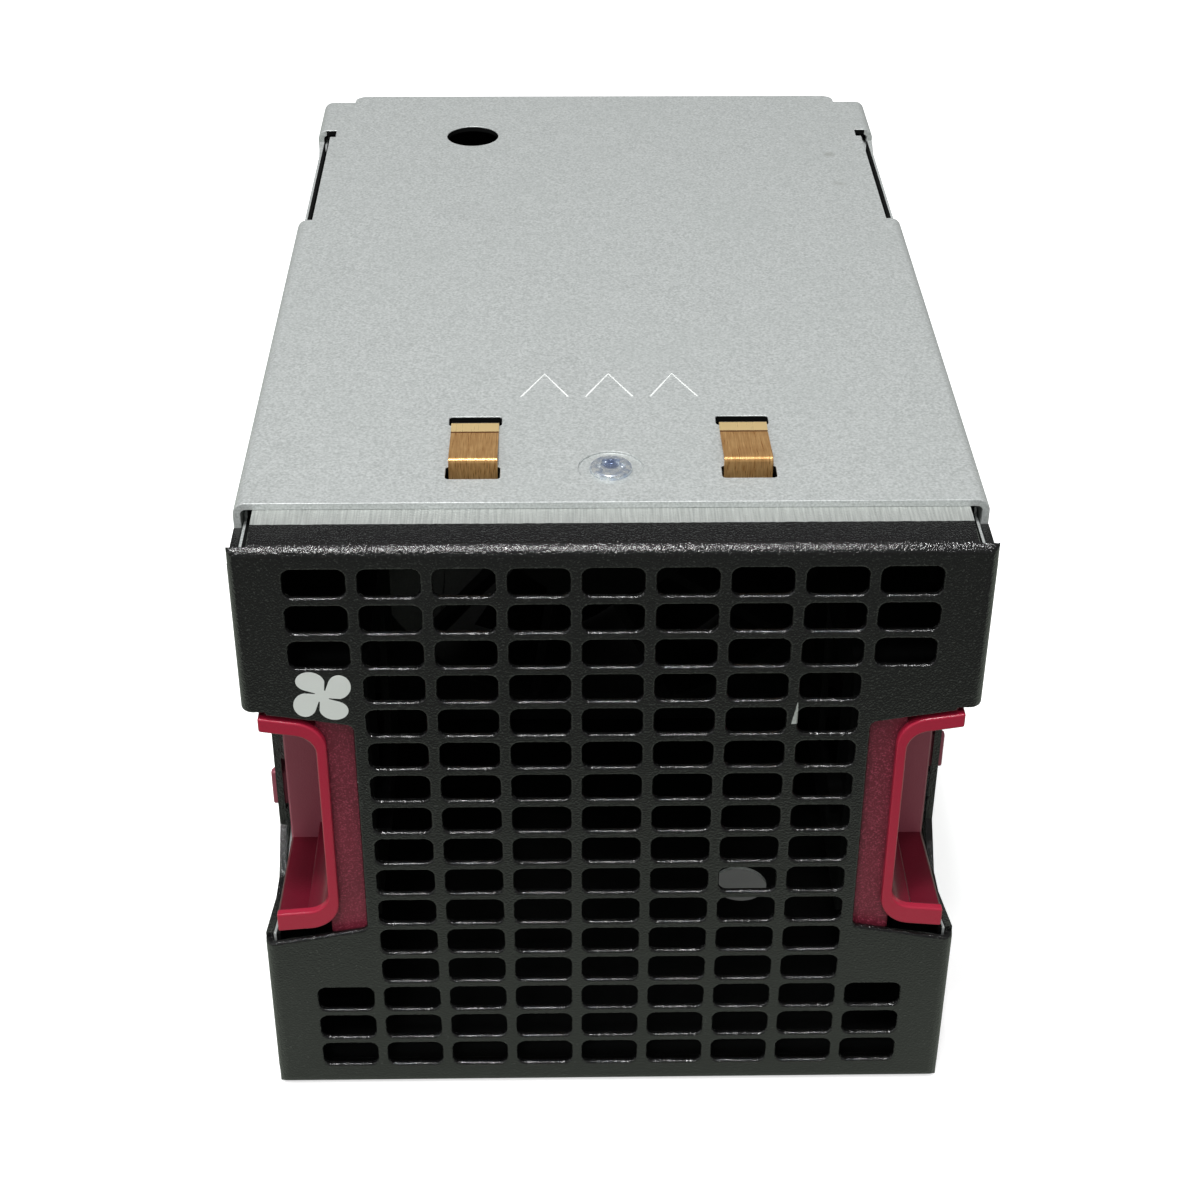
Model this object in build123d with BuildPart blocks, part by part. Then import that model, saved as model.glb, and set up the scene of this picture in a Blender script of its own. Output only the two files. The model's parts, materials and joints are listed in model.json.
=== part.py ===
from build123d import *
from math import cos, radians, sin
import os

# A hot-plug server cooling fan: an axial fan in a sheet-metal case that slides into a bay.
# The frame has +X to the right, the grille facing -Y and +Z up.
# The origin lies under the middle of the case, on the surface that it stands on.

# Driving sizes of the fan and of the sheet-metal case, in millimetres
fan_size = 92.0
fan_depth = 38.0
sheet = 1.0
fan_floor_gap = 0.5
fan_side_gap = 0.8
fit_gap = 0.1
seat_gap = 0.05
case_depth = 152.5
bend_radius = 1.7
overrun = 5.0

case_height = fan_size + 2 * (sheet + fan_floor_gap)
case_width = fan_size + 2 * (2 * sheet + fit_gap + fan_side_gap)
half_width = case_width / 2
front = -case_depth / 2
axis_height = case_height / 2

# Grille of the bezel: long rows cross the top and the bottom, short rows pass between the grips
slot_width = 7.9
slot_height = 4.2
slot_corner = 1.2
slot_pitch_x = 9.5
slot_pitch_z = 5.5
grille_margin_x = 5.0
grille_margin_z = 3.0
long_rows_each_end = 3

# Flanges of the bezel
bezel_depth = 30.0
top_flange_depth = 12.5
bottom_flange_depth = 12.0
cover_tab_width = 18.0
cover_tab_depth = 25.0
corner_relief = 2.6

# Finger cut-outs in the bezel and in the case sides
cutout_reach = 14.6
cutout_inner_drop = 16.9
cutout_inner_rise = 18.8
cutout_outer_drop = 19.7
cutout_outer_rise = 21.1
cutout_corner = 1.0
side_cutout_depth = 23.5
side_cutout_drop = 22.5
side_cutout_dip_start = 13.5
side_cutout_dip_end = 18.0

# Top cover
cover_front = 9.6
cover_rear_margin = 2.9
cover_lip = 12.0
cover_tongue_inset = 5.6
cover_corner = 2.0
cover_hole_radius = 4.45
cover_hole_x = -21.6
cover_hole_margin = 19.0
screw_recess_radius = 4.35
screw_recess_depth = 0.35
screw_depth = 18.3
window_length = 38.1
window_rear_margin = 16.3
window_inset = 2.4
window_drop = 5.0
window_head_inset = 3.3
window_head_length = 2.9

# Grounding clips and their slots
clip_x = 18.2
clip_width = 6.5
clip_sheet = 0.25
clip_rise = 1.0
clip_flat_length = 2.6
clip_crease_drop = 0.3
clip_bend = 0.5
clip_root_bend = 0.25
clip_hook_depth = 2.2
clip_slot_width = 7.2
clip_front_slot_start = 15.6
clip_front_slot_end = 18.8
clip_rear_slot_start = 29.8
clip_rear_slot_end = 32.3
clip_slot_corner = 0.5

# Case tray
tray_hole_x = 22.5
tray_hole_depth = 43.5
joggle_inset = 4.9
joggle_overlap = 2.0
tray_cutout_depth = 31.5
tab_drop = 0.4
tab_front_gap = 1.2
tab_rear_gap = 4.2
barb_length = 6.3
barb_reach = 0.5
barb_relief = 0.3

# Latches
catch_left_drop = 11.7
catch_right_drop = 5.6
catch_tall = 6.0
catch_reach = 1.0
catch_depth = 25.6
catch_length = 5.0
catch_window_gap = 0.5
catch_swing_gap = 1.0
grip_wall = 1.4
grip_depth = 20.0
grip_inner_inset = 10.9
grip_outer_inset = 2.1
grip_gap_top = 0.6
grip_gap_bottom = 0.6
grip_floor = 2.6
grip_floor_fall = 1.9
grip_corner = 4.5
latch_flange = 1.4
latch_flange_gap = 0.3
latch_flange_reach = 15.9
latch_flange_lap = 1.6
lever_sheet = 2.0
lever_outer_inset = 3.9
lever_height_share = 0.8
pivot_depth = 44.0
pivot_inset = 6.9
pivot_barrel_radius = 2.8
pivot_pin_radius = 1.0
running_gap = 0.05
play = 0.3

# Latch brackets
bracket_inner_inset = 16.0
bracket_start = 8.0
bracket_end = 50.0
bracket_flange = 6.5
bracket_window_start = 18.0
bracket_window_end = 38.0
bracket_window_share = 0.55
ledge_reach = 2.0
ledge_length = 5.0
spring_depth = 11.0
spring_drop = 3.2
spring_radius = 1.95
spring_wire = 0.25
spring_turns = 3.5

# Rear panel, guard and duct
panel_face_inset = 3.3
panel_flange = 8.0
guard_rings = 4
guard_ring_width = 1.8
guard_spokes = 4
guard_spoke_width = 3.0
guard_hub_radius = 12.0
guard_spoke_turn = 45.0
duct_length = 22.1
duct_wall = 1.2
duct_flange = 2.0
post_radius = 3.4

# Fan housing
fan_flange = 4.0
fan_corner = 4.0
bore_rim = 3.0
barrel_wall = 1.8
screw_inset = 4.75
screw_hole_radius = 2.15
base_radius = 19.5
base_sheet = 2.5
vane_count = 11
vane_length = 9.5
vane_sheet = 1.5
vane_turn = 5.0

# Impeller
hub_radius = 19.5
hub_skirt = 1.9
hub_face = 2.4
hub_length = 24.0
hub_edge = 3.0
blade_count = 7
tip_gap = 0.6
blade_root_chord = 25.0
blade_mid_chord = 30.0
blade_tip_chord = 36.0
blade_root_stagger = 34.0
blade_mid_stagger = 50.0
blade_tip_stagger = 61.0
blade_root_thickness = 2.4
blade_tip_thickness = 1.2
blade_root_camber = 3.2
blade_tip_camber = 2.2

# Motor
cup_sheet = 1.2
magnet_thickness = 1.7
magnet_length = 16.0
air_gap = 0.5
core_length = 10.0
core_slots = 9
core_ring = 2.4
tooth_width = 2.4
tooth_tip = 1.1
tooth_tip_share = 0.72
insulator_sheet = 1.0
coil_build = 1.1
tube_wall = 1.5
bearing_outer_radius = 4.0
bearing_length = 4.0
shaft_radius = 1.5
shaft_groove_share = 0.72
bearing_front_offset = 5.0
bearing_rear_offset = 26.0
shaft_clip_sheet = 0.6
shaft_clip_radius = 3.2
washer_sheet = 0.4
washer_radius = 2.9
board_sheet = 1.6
board_offset = 4.5
capacitor_radius = 2.0
capacitor_ring_share = 0.72
capacitor_count = 3

# Power connector
connector_size = 12.0
connector_length = 17.5
connector_inset = 7.8
connector_protrusion = 2.3
connector_collar = 0.4
connector_collar_length = 2.0
socket_width = 1.6
socket_depth = 8.0
contact_count = 4
contact_sheet = 0.8

# Fasteners
rivet_radius = 1.2
rivet_head_radius = 2.0
rivet_head = 0.6
rivet_depth = 27.0
rivet_low = 12.0
rivet_high_margin = 17.0
panel_rivet_margin = 4.0
panel_rivet_low = 22.0
screw_radius = 1.75
screw_head_radius = 3.4
screw_head = 2.0
cover_screw_radius = 1.5
cover_screw_head_radius = 2.8
cover_screw_head = 0.7
cover_screw_length = 4.5
nut_radius = 2.9
nut_height = 2.2
drive_radius = 1.45
drive_points = 6
drive_depth = 0.5

# Places that several pieces share
cutout_inner_low = axis_height - cutout_inner_drop
cutout_inner_high = axis_height + cutout_inner_rise
cutout_outer_low = axis_height - cutout_outer_drop
cutout_outer_high = axis_height + cutout_outer_rise
bezel_height = case_height - sheet
tray_half = half_width - sheet - fit_gap
tray_inner = tray_half - sheet
cover_underside = case_height - sheet
lip_low = case_height - cover_lip
cover_end = case_depth - cover_rear_margin
cover_hole_depth = case_depth - cover_hole_margin
window_end = case_depth - window_rear_margin
panel_face = case_depth - panel_face_inset
panel_half = tray_inner - fit_gap
panel_low = sheet + fit_gap
panel_high = cover_underside - fit_gap
tray_high = cover_underside - bend_radius
tray_start = bend_radius + fit_gap
duct_end = panel_face - sheet - seat_gap
fan_end = duct_end - duct_length - seat_gap
fan_start = fan_end - fan_depth
fan_half = fan_size / 2
hole_half = fan_half - screw_inset
bore_radius = fan_half - bore_rim
connector_offset = fan_half - connector_inset
rivet_high = case_height - rivet_high_margin
base_end = fan_start + base_sheet
hub_end = fan_end - sheet
hub_start = hub_end - hub_length
cup_outer = hub_radius - hub_skirt
cup_inner = cup_outer - cup_sheet
cup_end = hub_end - hub_face
magnet_inner = cup_inner - magnet_thickness
core_outer = magnet_inner - air_gap
tube_outer = bearing_outer_radius + tube_wall
rotor_middle = hub_start + hub_length / 2


def at(depth):
    """The Y of a place at this depth behind the front of the case."""
    return front + depth


def facing_rear(depth):
    """A plane across the case at this depth, with X to the right and Z up."""
    return Plane(origin=(0, at(depth), 0), x_dir=(1, 0, 0), z_dir=(0, -1, 0))


def on_axis(depth):
    """A plane across the fan's axis at this depth, that extrudes towards the rear."""
    return Plane(origin=(0, at(depth), axis_height), x_dir=(1, 0, 0), z_dir=(0, 1, 0))


def radial(angle, radius, depth):
    """A plane square to a radius of the fan: local x runs rearwards, local y runs round."""
    outward = (cos(radians(angle)), 0, sin(radians(angle)))
    origin = (radius * outward[0], at(depth), axis_height + radius * outward[2])
    return Plane(origin=origin, x_dir=(0, 1, 0), z_dir=outward)


def block(low, high, mode=Mode.ADD):
    """A box between two corners, in the part that is being built."""
    size = [b - a for a, b in zip(low, high)]
    middle = tuple((a + b) / 2 for a, b in zip(low, high))
    with Locations(middle):
        Box(*size, mode=mode)


def tube(start, end, outer, inner):
    """A round sleeve on the fan's axis."""
    with BuildSketch(on_axis(start)) as ring:
        Circle(outer)
        Circle(inner, mode=Mode.SUBTRACT)
    extrude(ring.sketch, amount=end - start)


def outline(points):
    """A closed face through these points, in the sketch that is being built."""
    Polygon(*points, align=None)


def finish(piece, name):
    """Labels a finished piece and writes it."""
    piece.part.label = name
    export_step(piece.part, f"parts/{name}.step")


def side_cutout(depth):
    """The finger opening through both case sides, cut this deep in the part that is being built."""
    points = [
        (at(-overrun), cutout_outer_low + sheet),
        (at(sheet), cutout_outer_low + sheet),
        (at(side_cutout_dip_start), axis_height - side_cutout_drop),
        (at(side_cutout_dip_end), axis_height - side_cutout_drop),
        (at(depth), cutout_inner_low),
        (at(depth), cutout_outer_high),
        (at(-overrun), cutout_outer_high),
    ]
    for side in (-1, 1):
        with BuildSketch(Plane.YZ.offset(side * (tray_inner - sheet))) as opening:
            outline(points)
        extrude(opening.sketch, amount=side * (3 * sheet + overrun), mode=Mode.SUBTRACT)


def catch_windows():
    """The notches that the latch catches pass through, one at the rear of each side flange."""
    for side, drop in ((-1, catch_left_drop), (1, catch_right_drop)):
        height = axis_height - drop
        reach = sorted((side * (tray_inner - overrun / 2), side * (half_width + overrun)))
        low = height - catch_tall / 2 - catch_window_gap
        high = height + catch_tall / 2 + catch_window_gap
        start = at(catch_depth - catch_swing_gap)
        end = at(catch_depth + catch_length + catch_window_gap)
        block((reach[0], start, low), (reach[1], end, high), Mode.SUBTRACT)


def rivet_places():
    """Side, depth and height of each rivet that joins the bezel to the tray."""
    return [(side, rivet_depth, z) for side in (-1, 1) for z in (rivet_low, rivet_high)]


def across(side, reach, depth, height):
    """A plane square to X at this distance from the middle, facing outwards."""
    return Plane(origin=(side * reach, at(depth), height), x_dir=(0, 1, 0), z_dir=(side, 0, 0))


def rivet_holes(places):
    """Round holes through one case side at each place."""
    for side, depth, height in places:
        with BuildSketch(across(side, tray_inner - 2 * sheet, depth, height)) as hole:
            Circle(rivet_radius + seat_gap)
        extrude(hole.sketch, amount=half_width, mode=Mode.SUBTRACT)


def rivet(side, depth, height, inner, outer):
    """A rivet with a flat head on each face of the sheets that it holds."""
    for start, length, radius in (
        (inner - rivet_head, rivet_head, rivet_head_radius),
        (inner, outer - inner, rivet_radius),
        (outer, rivet_head, rivet_head_radius),
    ):
        with BuildSketch(across(side, start, depth, height)) as disc:
            Circle(radius)
        extrude(disc.sketch, amount=length)


os.makedirs("parts", exist_ok=True)

# Front bezel: a folded box of sheet, open at the rear
with BuildPart() as front_bezel:
    block((-half_width, front, 0), (half_width, at(bezel_depth), bezel_height))
    fillet(front_bezel.faces().sort_by(Axis.Y)[0].edges(), bend_radius)
    offset(amount=-sheet, openings=front_bezel.faces().sort_by(Axis.Y)[-1])
    # The top flange carries the cover, and its middle tab takes the cover screw
    for side in (-1, 1):
        inner, outer = sorted((side * cover_tab_width / 2, side * (half_width + overrun)))
        block(
            (inner, at(top_flange_depth), bezel_height - 2 * sheet),
            (outer, at(bezel_depth + overrun), case_height),
            Mode.SUBTRACT,
        )
        # Room for the cover's lips, which lie flush with the side flanges
        inner, outer = sorted((side * (tray_half - overrun), side * (half_width + overrun)))
        block(
            (inner, at(cover_front - fit_gap), lip_low - fit_gap),
            (outer, at(bezel_depth + overrun), bezel_height - 2 * sheet),
            Mode.SUBTRACT,
        )
        # Relief at the bends, so that two flanges never meet in a corner
        inner, outer = sorted((side * (half_width - corner_relief), side * (half_width + overrun)))
        for low, high in ((bezel_height - corner_relief, case_height), (-overrun, corner_relief)):
            block((inner, at(sheet), low), (outer, at(top_flange_depth), high), Mode.SUBTRACT)
    block(
        (-half_width, at(cover_tab_depth), bezel_height - 2 * sheet),
        (half_width, at(bezel_depth + overrun), case_height),
        Mode.SUBTRACT,
    )
    block(
        (-tray_half - fit_gap, at(bottom_flange_depth), -overrun),
        (tray_half + fit_gap, at(bezel_depth + overrun), sheet),
        Mode.SUBTRACT,
    )
    # Air slots
    rows = int((case_height - 2 * grille_margin_z) // slot_pitch_z)
    long_row = int((case_width - 2 * grille_margin_x) // slot_pitch_x)
    with BuildSketch(facing_rear(-overrun)):
        with Locations((0, axis_height)):
            with GridLocations(slot_pitch_x, slot_pitch_z, long_row - 2, rows):
                RectangleRounded(slot_width, slot_height, slot_corner)
            end_shift = (rows - long_rows_each_end) * slot_pitch_z / 2
            column_span = (long_row - 1) * slot_pitch_x
            for shift in (-end_shift, end_shift):
                with Locations((0, shift)):
                    with GridLocations(column_span, slot_pitch_z, 2, long_rows_each_end):
                        RectangleRounded(slot_width, slot_height, slot_corner)
    extrude(amount=-(2 * overrun), mode=Mode.SUBTRACT)
    # Finger cut-outs in the face and the sides
    with BuildSketch(facing_rear(-overrun)) as cutouts:
        for side in (-1, 1):
            inner = side * (half_width - cutout_reach)
            outer = side * half_width
            past = side * (half_width + overrun)
            outline(
                [
                    (inner, cutout_inner_low),
                    (outer, cutout_outer_low),
                    (past, cutout_outer_low),
                    (past, cutout_outer_high),
                    (outer, cutout_outer_high),
                    (inner, cutout_inner_high),
                ]
            )
        corners = cutouts.vertices().filter_by(lambda v: abs(v.X) < half_width - sheet)
        fillet(corners, cutout_corner)
    extrude(amount=-(overrun + 2 * sheet), mode=Mode.SUBTRACT)
    side_cutout(side_cutout_depth)
    catch_windows()
    rivet_holes(rivet_places())
    with BuildSketch(Plane(origin=(0, at(screw_depth), bezel_height))):
        Circle(cover_screw_radius + fit_gap)
    extrude(amount=-(2 * sheet), mode=Mode.SUBTRACT)
finish(front_bezel, "front_bezel")


def clip_slots():
    """The two slots of each grounding clip, through the cover."""
    with BuildSketch(Plane.XY.offset(case_height)) as slots:
        for start, end in (
            (clip_front_slot_start, clip_front_slot_end),
            (clip_rear_slot_start, clip_rear_slot_end),
        ):
            with Locations((-clip_x, at((start + end) / 2)), (clip_x, at((start + end) / 2))):
                RectangleRounded(clip_slot_width, end - start, clip_slot_corner)
    extrude(slots.sketch, amount=-(2 * sheet), mode=Mode.SUBTRACT)


# Top cover: a sheet with a lip down each side, and a window over each bend for the tray's tabs
with BuildPart() as top_cover:
    block((-half_width, at(cover_front), lip_low), (half_width, at(cover_end), case_height))
    top_edges = top_cover.edges().filter_by(Axis.Y).group_by(Axis.Z)[-1]
    fillet(top_edges, bend_radius)
    ends = top_cover.faces().filter_by(Axis.Y)
    base = top_cover.faces().sort_by(Axis.Z)[0]
    offset(amount=-sheet, openings=[*ends, base])
    tongue_half = half_width - cover_tongue_inset
    block(
        (-tongue_half, at(cover_end), cover_underside),
        (tongue_half, at(case_depth), case_height),
    )
    clip_slots()
    with BuildSketch(Plane(origin=(cover_hole_x, at(cover_hole_depth), case_height))):
        Circle(cover_hole_radius)
    extrude(amount=-(2 * sheet), mode=Mode.SUBTRACT)
    with BuildSketch(Plane(origin=(0, at(screw_depth), case_height))):
        Circle(screw_recess_radius)
    extrude(amount=-screw_recess_depth, mode=Mode.SUBTRACT)
    with BuildSketch(Plane(origin=(0, at(screw_depth), case_height))):
        Circle(cover_screw_radius + fit_gap)
    extrude(amount=-(2 * sheet), mode=Mode.SUBTRACT)
    for side in (-1, 1):
        past = side * (half_width + overrun)
        for inset, length in (
            (window_inset, window_length),
            (window_head_inset, window_head_length),
        ):
            inner, outer = sorted((side * (half_width - inset), past))
            block(
                (inner, at(window_end - length), case_height - window_drop),
                (outer, at(window_end), case_height + overrun),
                Mode.SUBTRACT,
            )
    rear_corners = top_cover.edges().filter_by(Axis.Z).filter_by(
        lambda edge: abs(edge.center().Y - at(case_depth)) < seat_gap
    )
    fillet(rear_corners, cover_corner)
finish(top_cover, "top_cover")

# Grounding clips: springy strips hooked round the web between two slots
for side, name in ((-1, "left"), (1, "right")):
    with BuildPart() as grounding_clip:
        with BuildSketch(Plane.YZ.offset(side * clip_x - clip_width / 2)):
            skin = clip_sheet / 2
            under = cover_underside - skin - seat_gap
            over = case_height + skin + seat_gap
            rear_bend = at(clip_rear_slot_start) + skin + seat_gap
            front_bend = at(clip_front_slot_end) - skin - seat_gap
            crease = rear_bend - clip_flat_length
            with BuildLine():
                FilletPolyline(
                    (rear_bend - clip_flat_length, under),
                    (rear_bend, under),
                    (rear_bend, over + clip_crease_drop),
                    (crease, over),
                    (front_bend, over + clip_rise),
                    (front_bend, cover_underside - clip_hook_depth),
                    radius=(clip_root_bend, clip_bend, clip_bend, clip_bend),
                )
            trace(line_width=clip_sheet)
        extrude(amount=clip_width)
    finish(grounding_clip, f"grounding_clip_{name}")


def star_drive(face, places):
    """Six-pointed drive recesses, cut at each place into the heads that end at this face."""
    with BuildSketch(face) as stars:
        with Locations(*places):
            Circle(drive_radius)
            with PolarLocations(drive_radius, drive_points):
                Circle(drive_radius / 3)
    extrude(stars.sketch, amount=-drive_depth, mode=Mode.SUBTRACT)


# Cover screw and the clinch nut under the bezel's tab
with BuildPart() as cover_screw:
    seat = case_height - screw_recess_depth
    with BuildSketch(Plane(origin=(0, at(screw_depth), seat))):
        Circle(cover_screw_head_radius)
    extrude(amount=cover_screw_head)
    head_rim = cover_screw.edges().sort_by(Axis.Z)[-1]
    fillet(head_rim, cover_screw_head / 2)
    with BuildSketch(Plane(origin=(0, at(screw_depth), seat))):
        Circle(cover_screw_radius)
    extrude(amount=-cover_screw_length)
    star_drive(Plane(origin=(0, at(screw_depth), seat + cover_screw_head)), [(0, 0)])
finish(cover_screw, "cover_screw")

with BuildPart() as cover_nut:
    with BuildSketch(Plane(origin=(0, at(screw_depth), bezel_height - sheet))):
        RegularPolygon(nut_radius, 6)
        Circle(cover_screw_radius + running_gap, mode=Mode.SUBTRACT)
    extrude(amount=-nut_height)
finish(cover_nut, "cover_nut")


def bracket_rivet_places():
    """Side, depth and height of the rivets that hold the latch brackets."""
    depth = (side_cutout_depth + catch_length + bracket_end) / 2
    low = bracket_low - bracket_flange / 2
    high = bracket_high + bracket_flange / 2
    return [(side, depth, z) for side in (-1, 1) for z in (low, high)]


def panel_rivet_places():
    """Side, depth and height of the rivets that hold the rear panel."""
    depth = panel_face - panel_rivet_margin
    return [(side, depth, z) for side in (-1, 1) for z in (panel_rivet_low, rivet_high)]


bracket_low = cutout_outer_low - play - sheet
bracket_high = cutout_outer_high + play + sheet

# Case tray: a floor with two walls, open at the top
with BuildPart() as case_tray:
    tray_front = bottom_flange_depth + fit_gap
    block((-tray_half, at(tray_front), 0), (tray_half, at(panel_face), tray_high))
    floor_edges = case_tray.edges().filter_by(Axis.Y).group_by(Axis.Z)[0]
    fillet(floor_edges, bend_radius)
    ends = case_tray.faces().filter_by(Axis.Y)
    top = case_tray.faces().sort_by(Axis.Z)[-1]
    offset(amount=-sheet, openings=[*ends, top])
    # The walls and a joggled lip of the floor reach forward inside the bezel
    for side in (-1, 1):
        inner, outer = sorted((side * tray_inner, side * tray_half))
        block(
            (inner, at(tray_start), corner_relief),
            (outer, at(tray_front), bezel_height - corner_relief),
        )
    joggle_half = half_width - joggle_inset
    block(
        (-joggle_half, at(tray_start + bend_radius), sheet),
        (joggle_half, at(tray_front + joggle_overlap), 2 * sheet),
    )
    # Tabs that stand in the cover's windows, each with its rear end bent outwards as a stop
    tab_high = case_height - tab_drop
    tab_start = at(window_end - window_length + tab_front_gap)
    tab_end = at(window_end - tab_rear_gap)
    barb_start = tab_end - barb_length
    for side in (-1, 1):
        inner, outer = sorted((side * tray_inner, side * tray_half))
        block((inner, tab_start, tray_high - sheet), (outer, barb_start, tab_high))
        with BuildSketch(Plane.XY.offset(tray_high + barb_relief)):
            outline(
                [
                    (side * tray_inner, barb_start - sheet),
                    (side * tray_half, barb_start - sheet),
                    (side * tray_half, barb_start),
                    (side * (tray_half + barb_reach), tab_end),
                    (side * (tray_inner + barb_reach), tab_end),
                    (side * tray_inner, barb_start),
                ]
            )
        extrude(amount=tab_high - tray_high - barb_relief)
    side_cutout(tray_cutout_depth)
    rivet_holes(rivet_places() + bracket_rivet_places() + panel_rivet_places())
    with BuildSketch(Plane(origin=(tray_hole_x, at(tray_hole_depth), sheet))):
        Circle(cover_hole_radius)
    extrude(amount=-(2 * sheet), mode=Mode.SUBTRACT)
finish(case_tray, "case_tray")


# Latch: a finger pocket with a raised rim, on a lever that turns on an upright pin
def grip_profile(side, inset):
    """The C of the finger pocket, seen from the front, drawn this far inside its outer face."""
    open_end = half_width - grip_outer_inset + (overrun if inset else 0)
    root = half_width - grip_inner_inset + inset
    slope_top = (cutout_outer_high - cutout_inner_high) / cutout_reach
    slope_low = (cutout_inner_low - cutout_outer_low) / cutout_reach
    outer_top = cutout_outer_high - slope_top * grip_outer_inset - grip_gap_top - inset
    outer_low = cutout_outer_low + 2 * sheet + grip_gap_bottom + (grip_floor if inset else 0)
    rise = open_end - root
    outline(
        [
            (side * open_end, outer_top),
            (side * root, outer_top - slope_top * rise),
            (side * root, outer_low + slope_low * rise / 2),
            (side * open_end, outer_low),
        ]
    )


for side, name, catch_drop in ((-1, "left", catch_left_drop), (1, "right", catch_right_drop)):
    root = half_width - grip_inner_inset
    with BuildPart() as latch:
        with BuildSketch(facing_rear(0)) as rim:
            grip_profile(side, 0)
            inner_corners = rim.vertices().filter_by(lambda v: abs(v.X) < root + seat_gap)
            fillet(inner_corners, grip_corner)
        extrude(amount=-(grip_depth + grip_wall))
        # Flat flange that closes the gap behind the bezel
        flange_front = sheet + latch_flange_gap
        flange_inner = half_width - latch_flange_reach
        inner, outer = sorted((side * flange_inner, side * (root + grip_wall)))
        block(
            (inner, at(flange_front), cutout_inner_low - latch_flange_lap),
            (outer, at(flange_front + latch_flange), cutout_inner_high + latch_flange_lap),
        )
        with BuildSketch(facing_rear(-overrun)) as hollow:
            grip_profile(side, grip_wall)
            inner_corners = hollow.vertices().filter_by(
                lambda v: abs(v.X) < root + grip_wall + seat_gap
            )
            fillet(inner_corners, grip_corner - grip_wall)
        extrude(amount=-(grip_depth + overrun), mode=Mode.SUBTRACT)
        # The pocket's floor falls a little towards the rear
        floor_top = cutout_outer_low + 2 * sheet + grip_gap_bottom + grip_floor
        floor_start = root + grip_corner
        inner, outer = sorted((side * floor_start, side * (half_width + overrun)))
        with BuildSketch(Plane.YZ.offset(inner)):
            outline(
                [
                    (at(grip_wall), floor_top + sheet),
                    (at(grip_wall), floor_top),
                    (at(grip_depth), floor_top - grip_floor_fall),
                    (at(grip_depth), floor_top + sheet),
                ]
            )
        extrude(amount=outer - inner, mode=Mode.SUBTRACT)
        # Lever, from the pocket's rear wall to the pivot barrel
        lever_outer = half_width - lever_outer_inset
        inner, outer = sorted((side * (lever_outer - lever_sheet), side * lever_outer))
        middle = (cutout_inner_low + cutout_inner_high) / 2
        lever_half = (cutout_inner_high - cutout_inner_low) * lever_height_share / 2
        block(
            (inner, at(grip_depth), middle - lever_half),
            (outer, at(pivot_depth), middle + lever_half),
        )
        barrel_low = bracket_low + sheet + play
        barrel_high = bracket_high - sheet - play
        pivot = (side * (half_width - pivot_inset), at(pivot_depth))
        with BuildSketch(Plane.XY.offset(barrel_low)):
            with Locations(pivot):
                Circle(pivot_barrel_radius)
        extrude(amount=barrel_high - barrel_low)
        # Catch: square in front, ramped behind, carried on a rib of the lever
        low = axis_height - catch_drop - catch_tall / 2
        catch_outer = half_width + catch_reach
        with BuildSketch(Plane.XY.offset(low)):
            outline(
                [
                    (side * (lever_outer - lever_sheet / 2), at(catch_depth)),
                    (side * catch_outer, at(catch_depth)),
                    (side * catch_outer, at(catch_depth + sheet)),
                    (side * tray_inner, at(catch_depth + catch_length)),
                    (side * (lever_outer - lever_sheet / 2), at(catch_depth + catch_length)),
                ]
            )
        extrude(amount=catch_tall)
        with BuildSketch(Plane.XY.offset(barrel_low - overrun)):
            with Locations(pivot):
                Circle(pivot_pin_radius + running_gap)
        extrude(amount=barrel_high - barrel_low + 2 * overrun, mode=Mode.SUBTRACT)
    finish(latch, f"{name}_latch")

    # Bracket: a channel round the lever, riveted to the tray
    with BuildPart() as bracket:
        wall = half_width - bracket_inner_inset
        inner, outer = sorted((side * wall, side * tray_inner))
        block((inner, at(bracket_start), bracket_low), (outer, at(bracket_end), bracket_high))
        room_inner, room_outer = sorted((side * (wall + sheet), side * (tray_inner + overrun)))
        block(
            (room_inner, at(-overrun), bracket_low + sheet),
            (room_outer, at(bracket_end + overrun), bracket_high - sheet),
            Mode.SUBTRACT,
        )
        # Flanges that lie on the tray's wall, above and below the channel
        inner, outer = sorted((side * (tray_inner - sheet), side * tray_inner))
        flange_start = at(side_cutout_depth + catch_length)
        for low, high in (
            (bracket_low - bracket_flange, bracket_low + sheet),
            (bracket_high - sheet, bracket_high + bracket_flange),
        ):
            block((inner, flange_start, low), (outer, at(bracket_end), high))
        # Air window in the inner wall, and the two ledges that hold the spring's end
        window_half = (bracket_high - bracket_low) * bracket_window_share / 2
        middle = (bracket_low + bracket_high) / 2
        inner, outer = sorted((side * (wall - overrun), side * (wall + 2 * sheet)))
        block(
            (inner, at(bracket_window_start), middle - window_half),
            (outer, at(bracket_window_end), middle + window_half),
            Mode.SUBTRACT,
        )
        inner, outer = sorted((side * (wall - ledge_reach), side * wall))
        for edge in (-1, 1):
            ledge = axis_height - spring_drop
            ledge += edge * (spring_radius + spring_wire + sheet / 2)
            block(
                (inner, at(spring_depth - ledge_length / 2), ledge - sheet / 2),
                (outer, at(spring_depth + ledge_length / 2), ledge + sheet / 2),
            )
        with BuildSketch(Plane.XY.offset(bracket_low - overrun)):
            with Locations(pivot):
                Circle(pivot_pin_radius + seat_gap)
        extrude(amount=bracket_high - bracket_low + 2 * overrun, mode=Mode.SUBTRACT)
        rivet_holes([place for place in bracket_rivet_places() if place[0] == side])
    finish(bracket, f"{name}_latch_bracket")

    # Pivot pin, headed at both ends
    with BuildPart() as pin:
        with BuildSketch(Plane.XY.offset(bracket_low - sheet)):
            with Locations(pivot):
                Circle(pivot_pin_radius)
        extrude(amount=bracket_high - bracket_low + 2 * sheet)
        for level in (bracket_low - sheet, bracket_high + seat_gap):
            with BuildSketch(Plane.XY.offset(level)):
                with Locations(pivot):
                    Circle(2 * pivot_pin_radius)
            extrude(amount=sheet - seat_gap)
    finish(pin, f"{name}_latch_pin")

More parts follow.
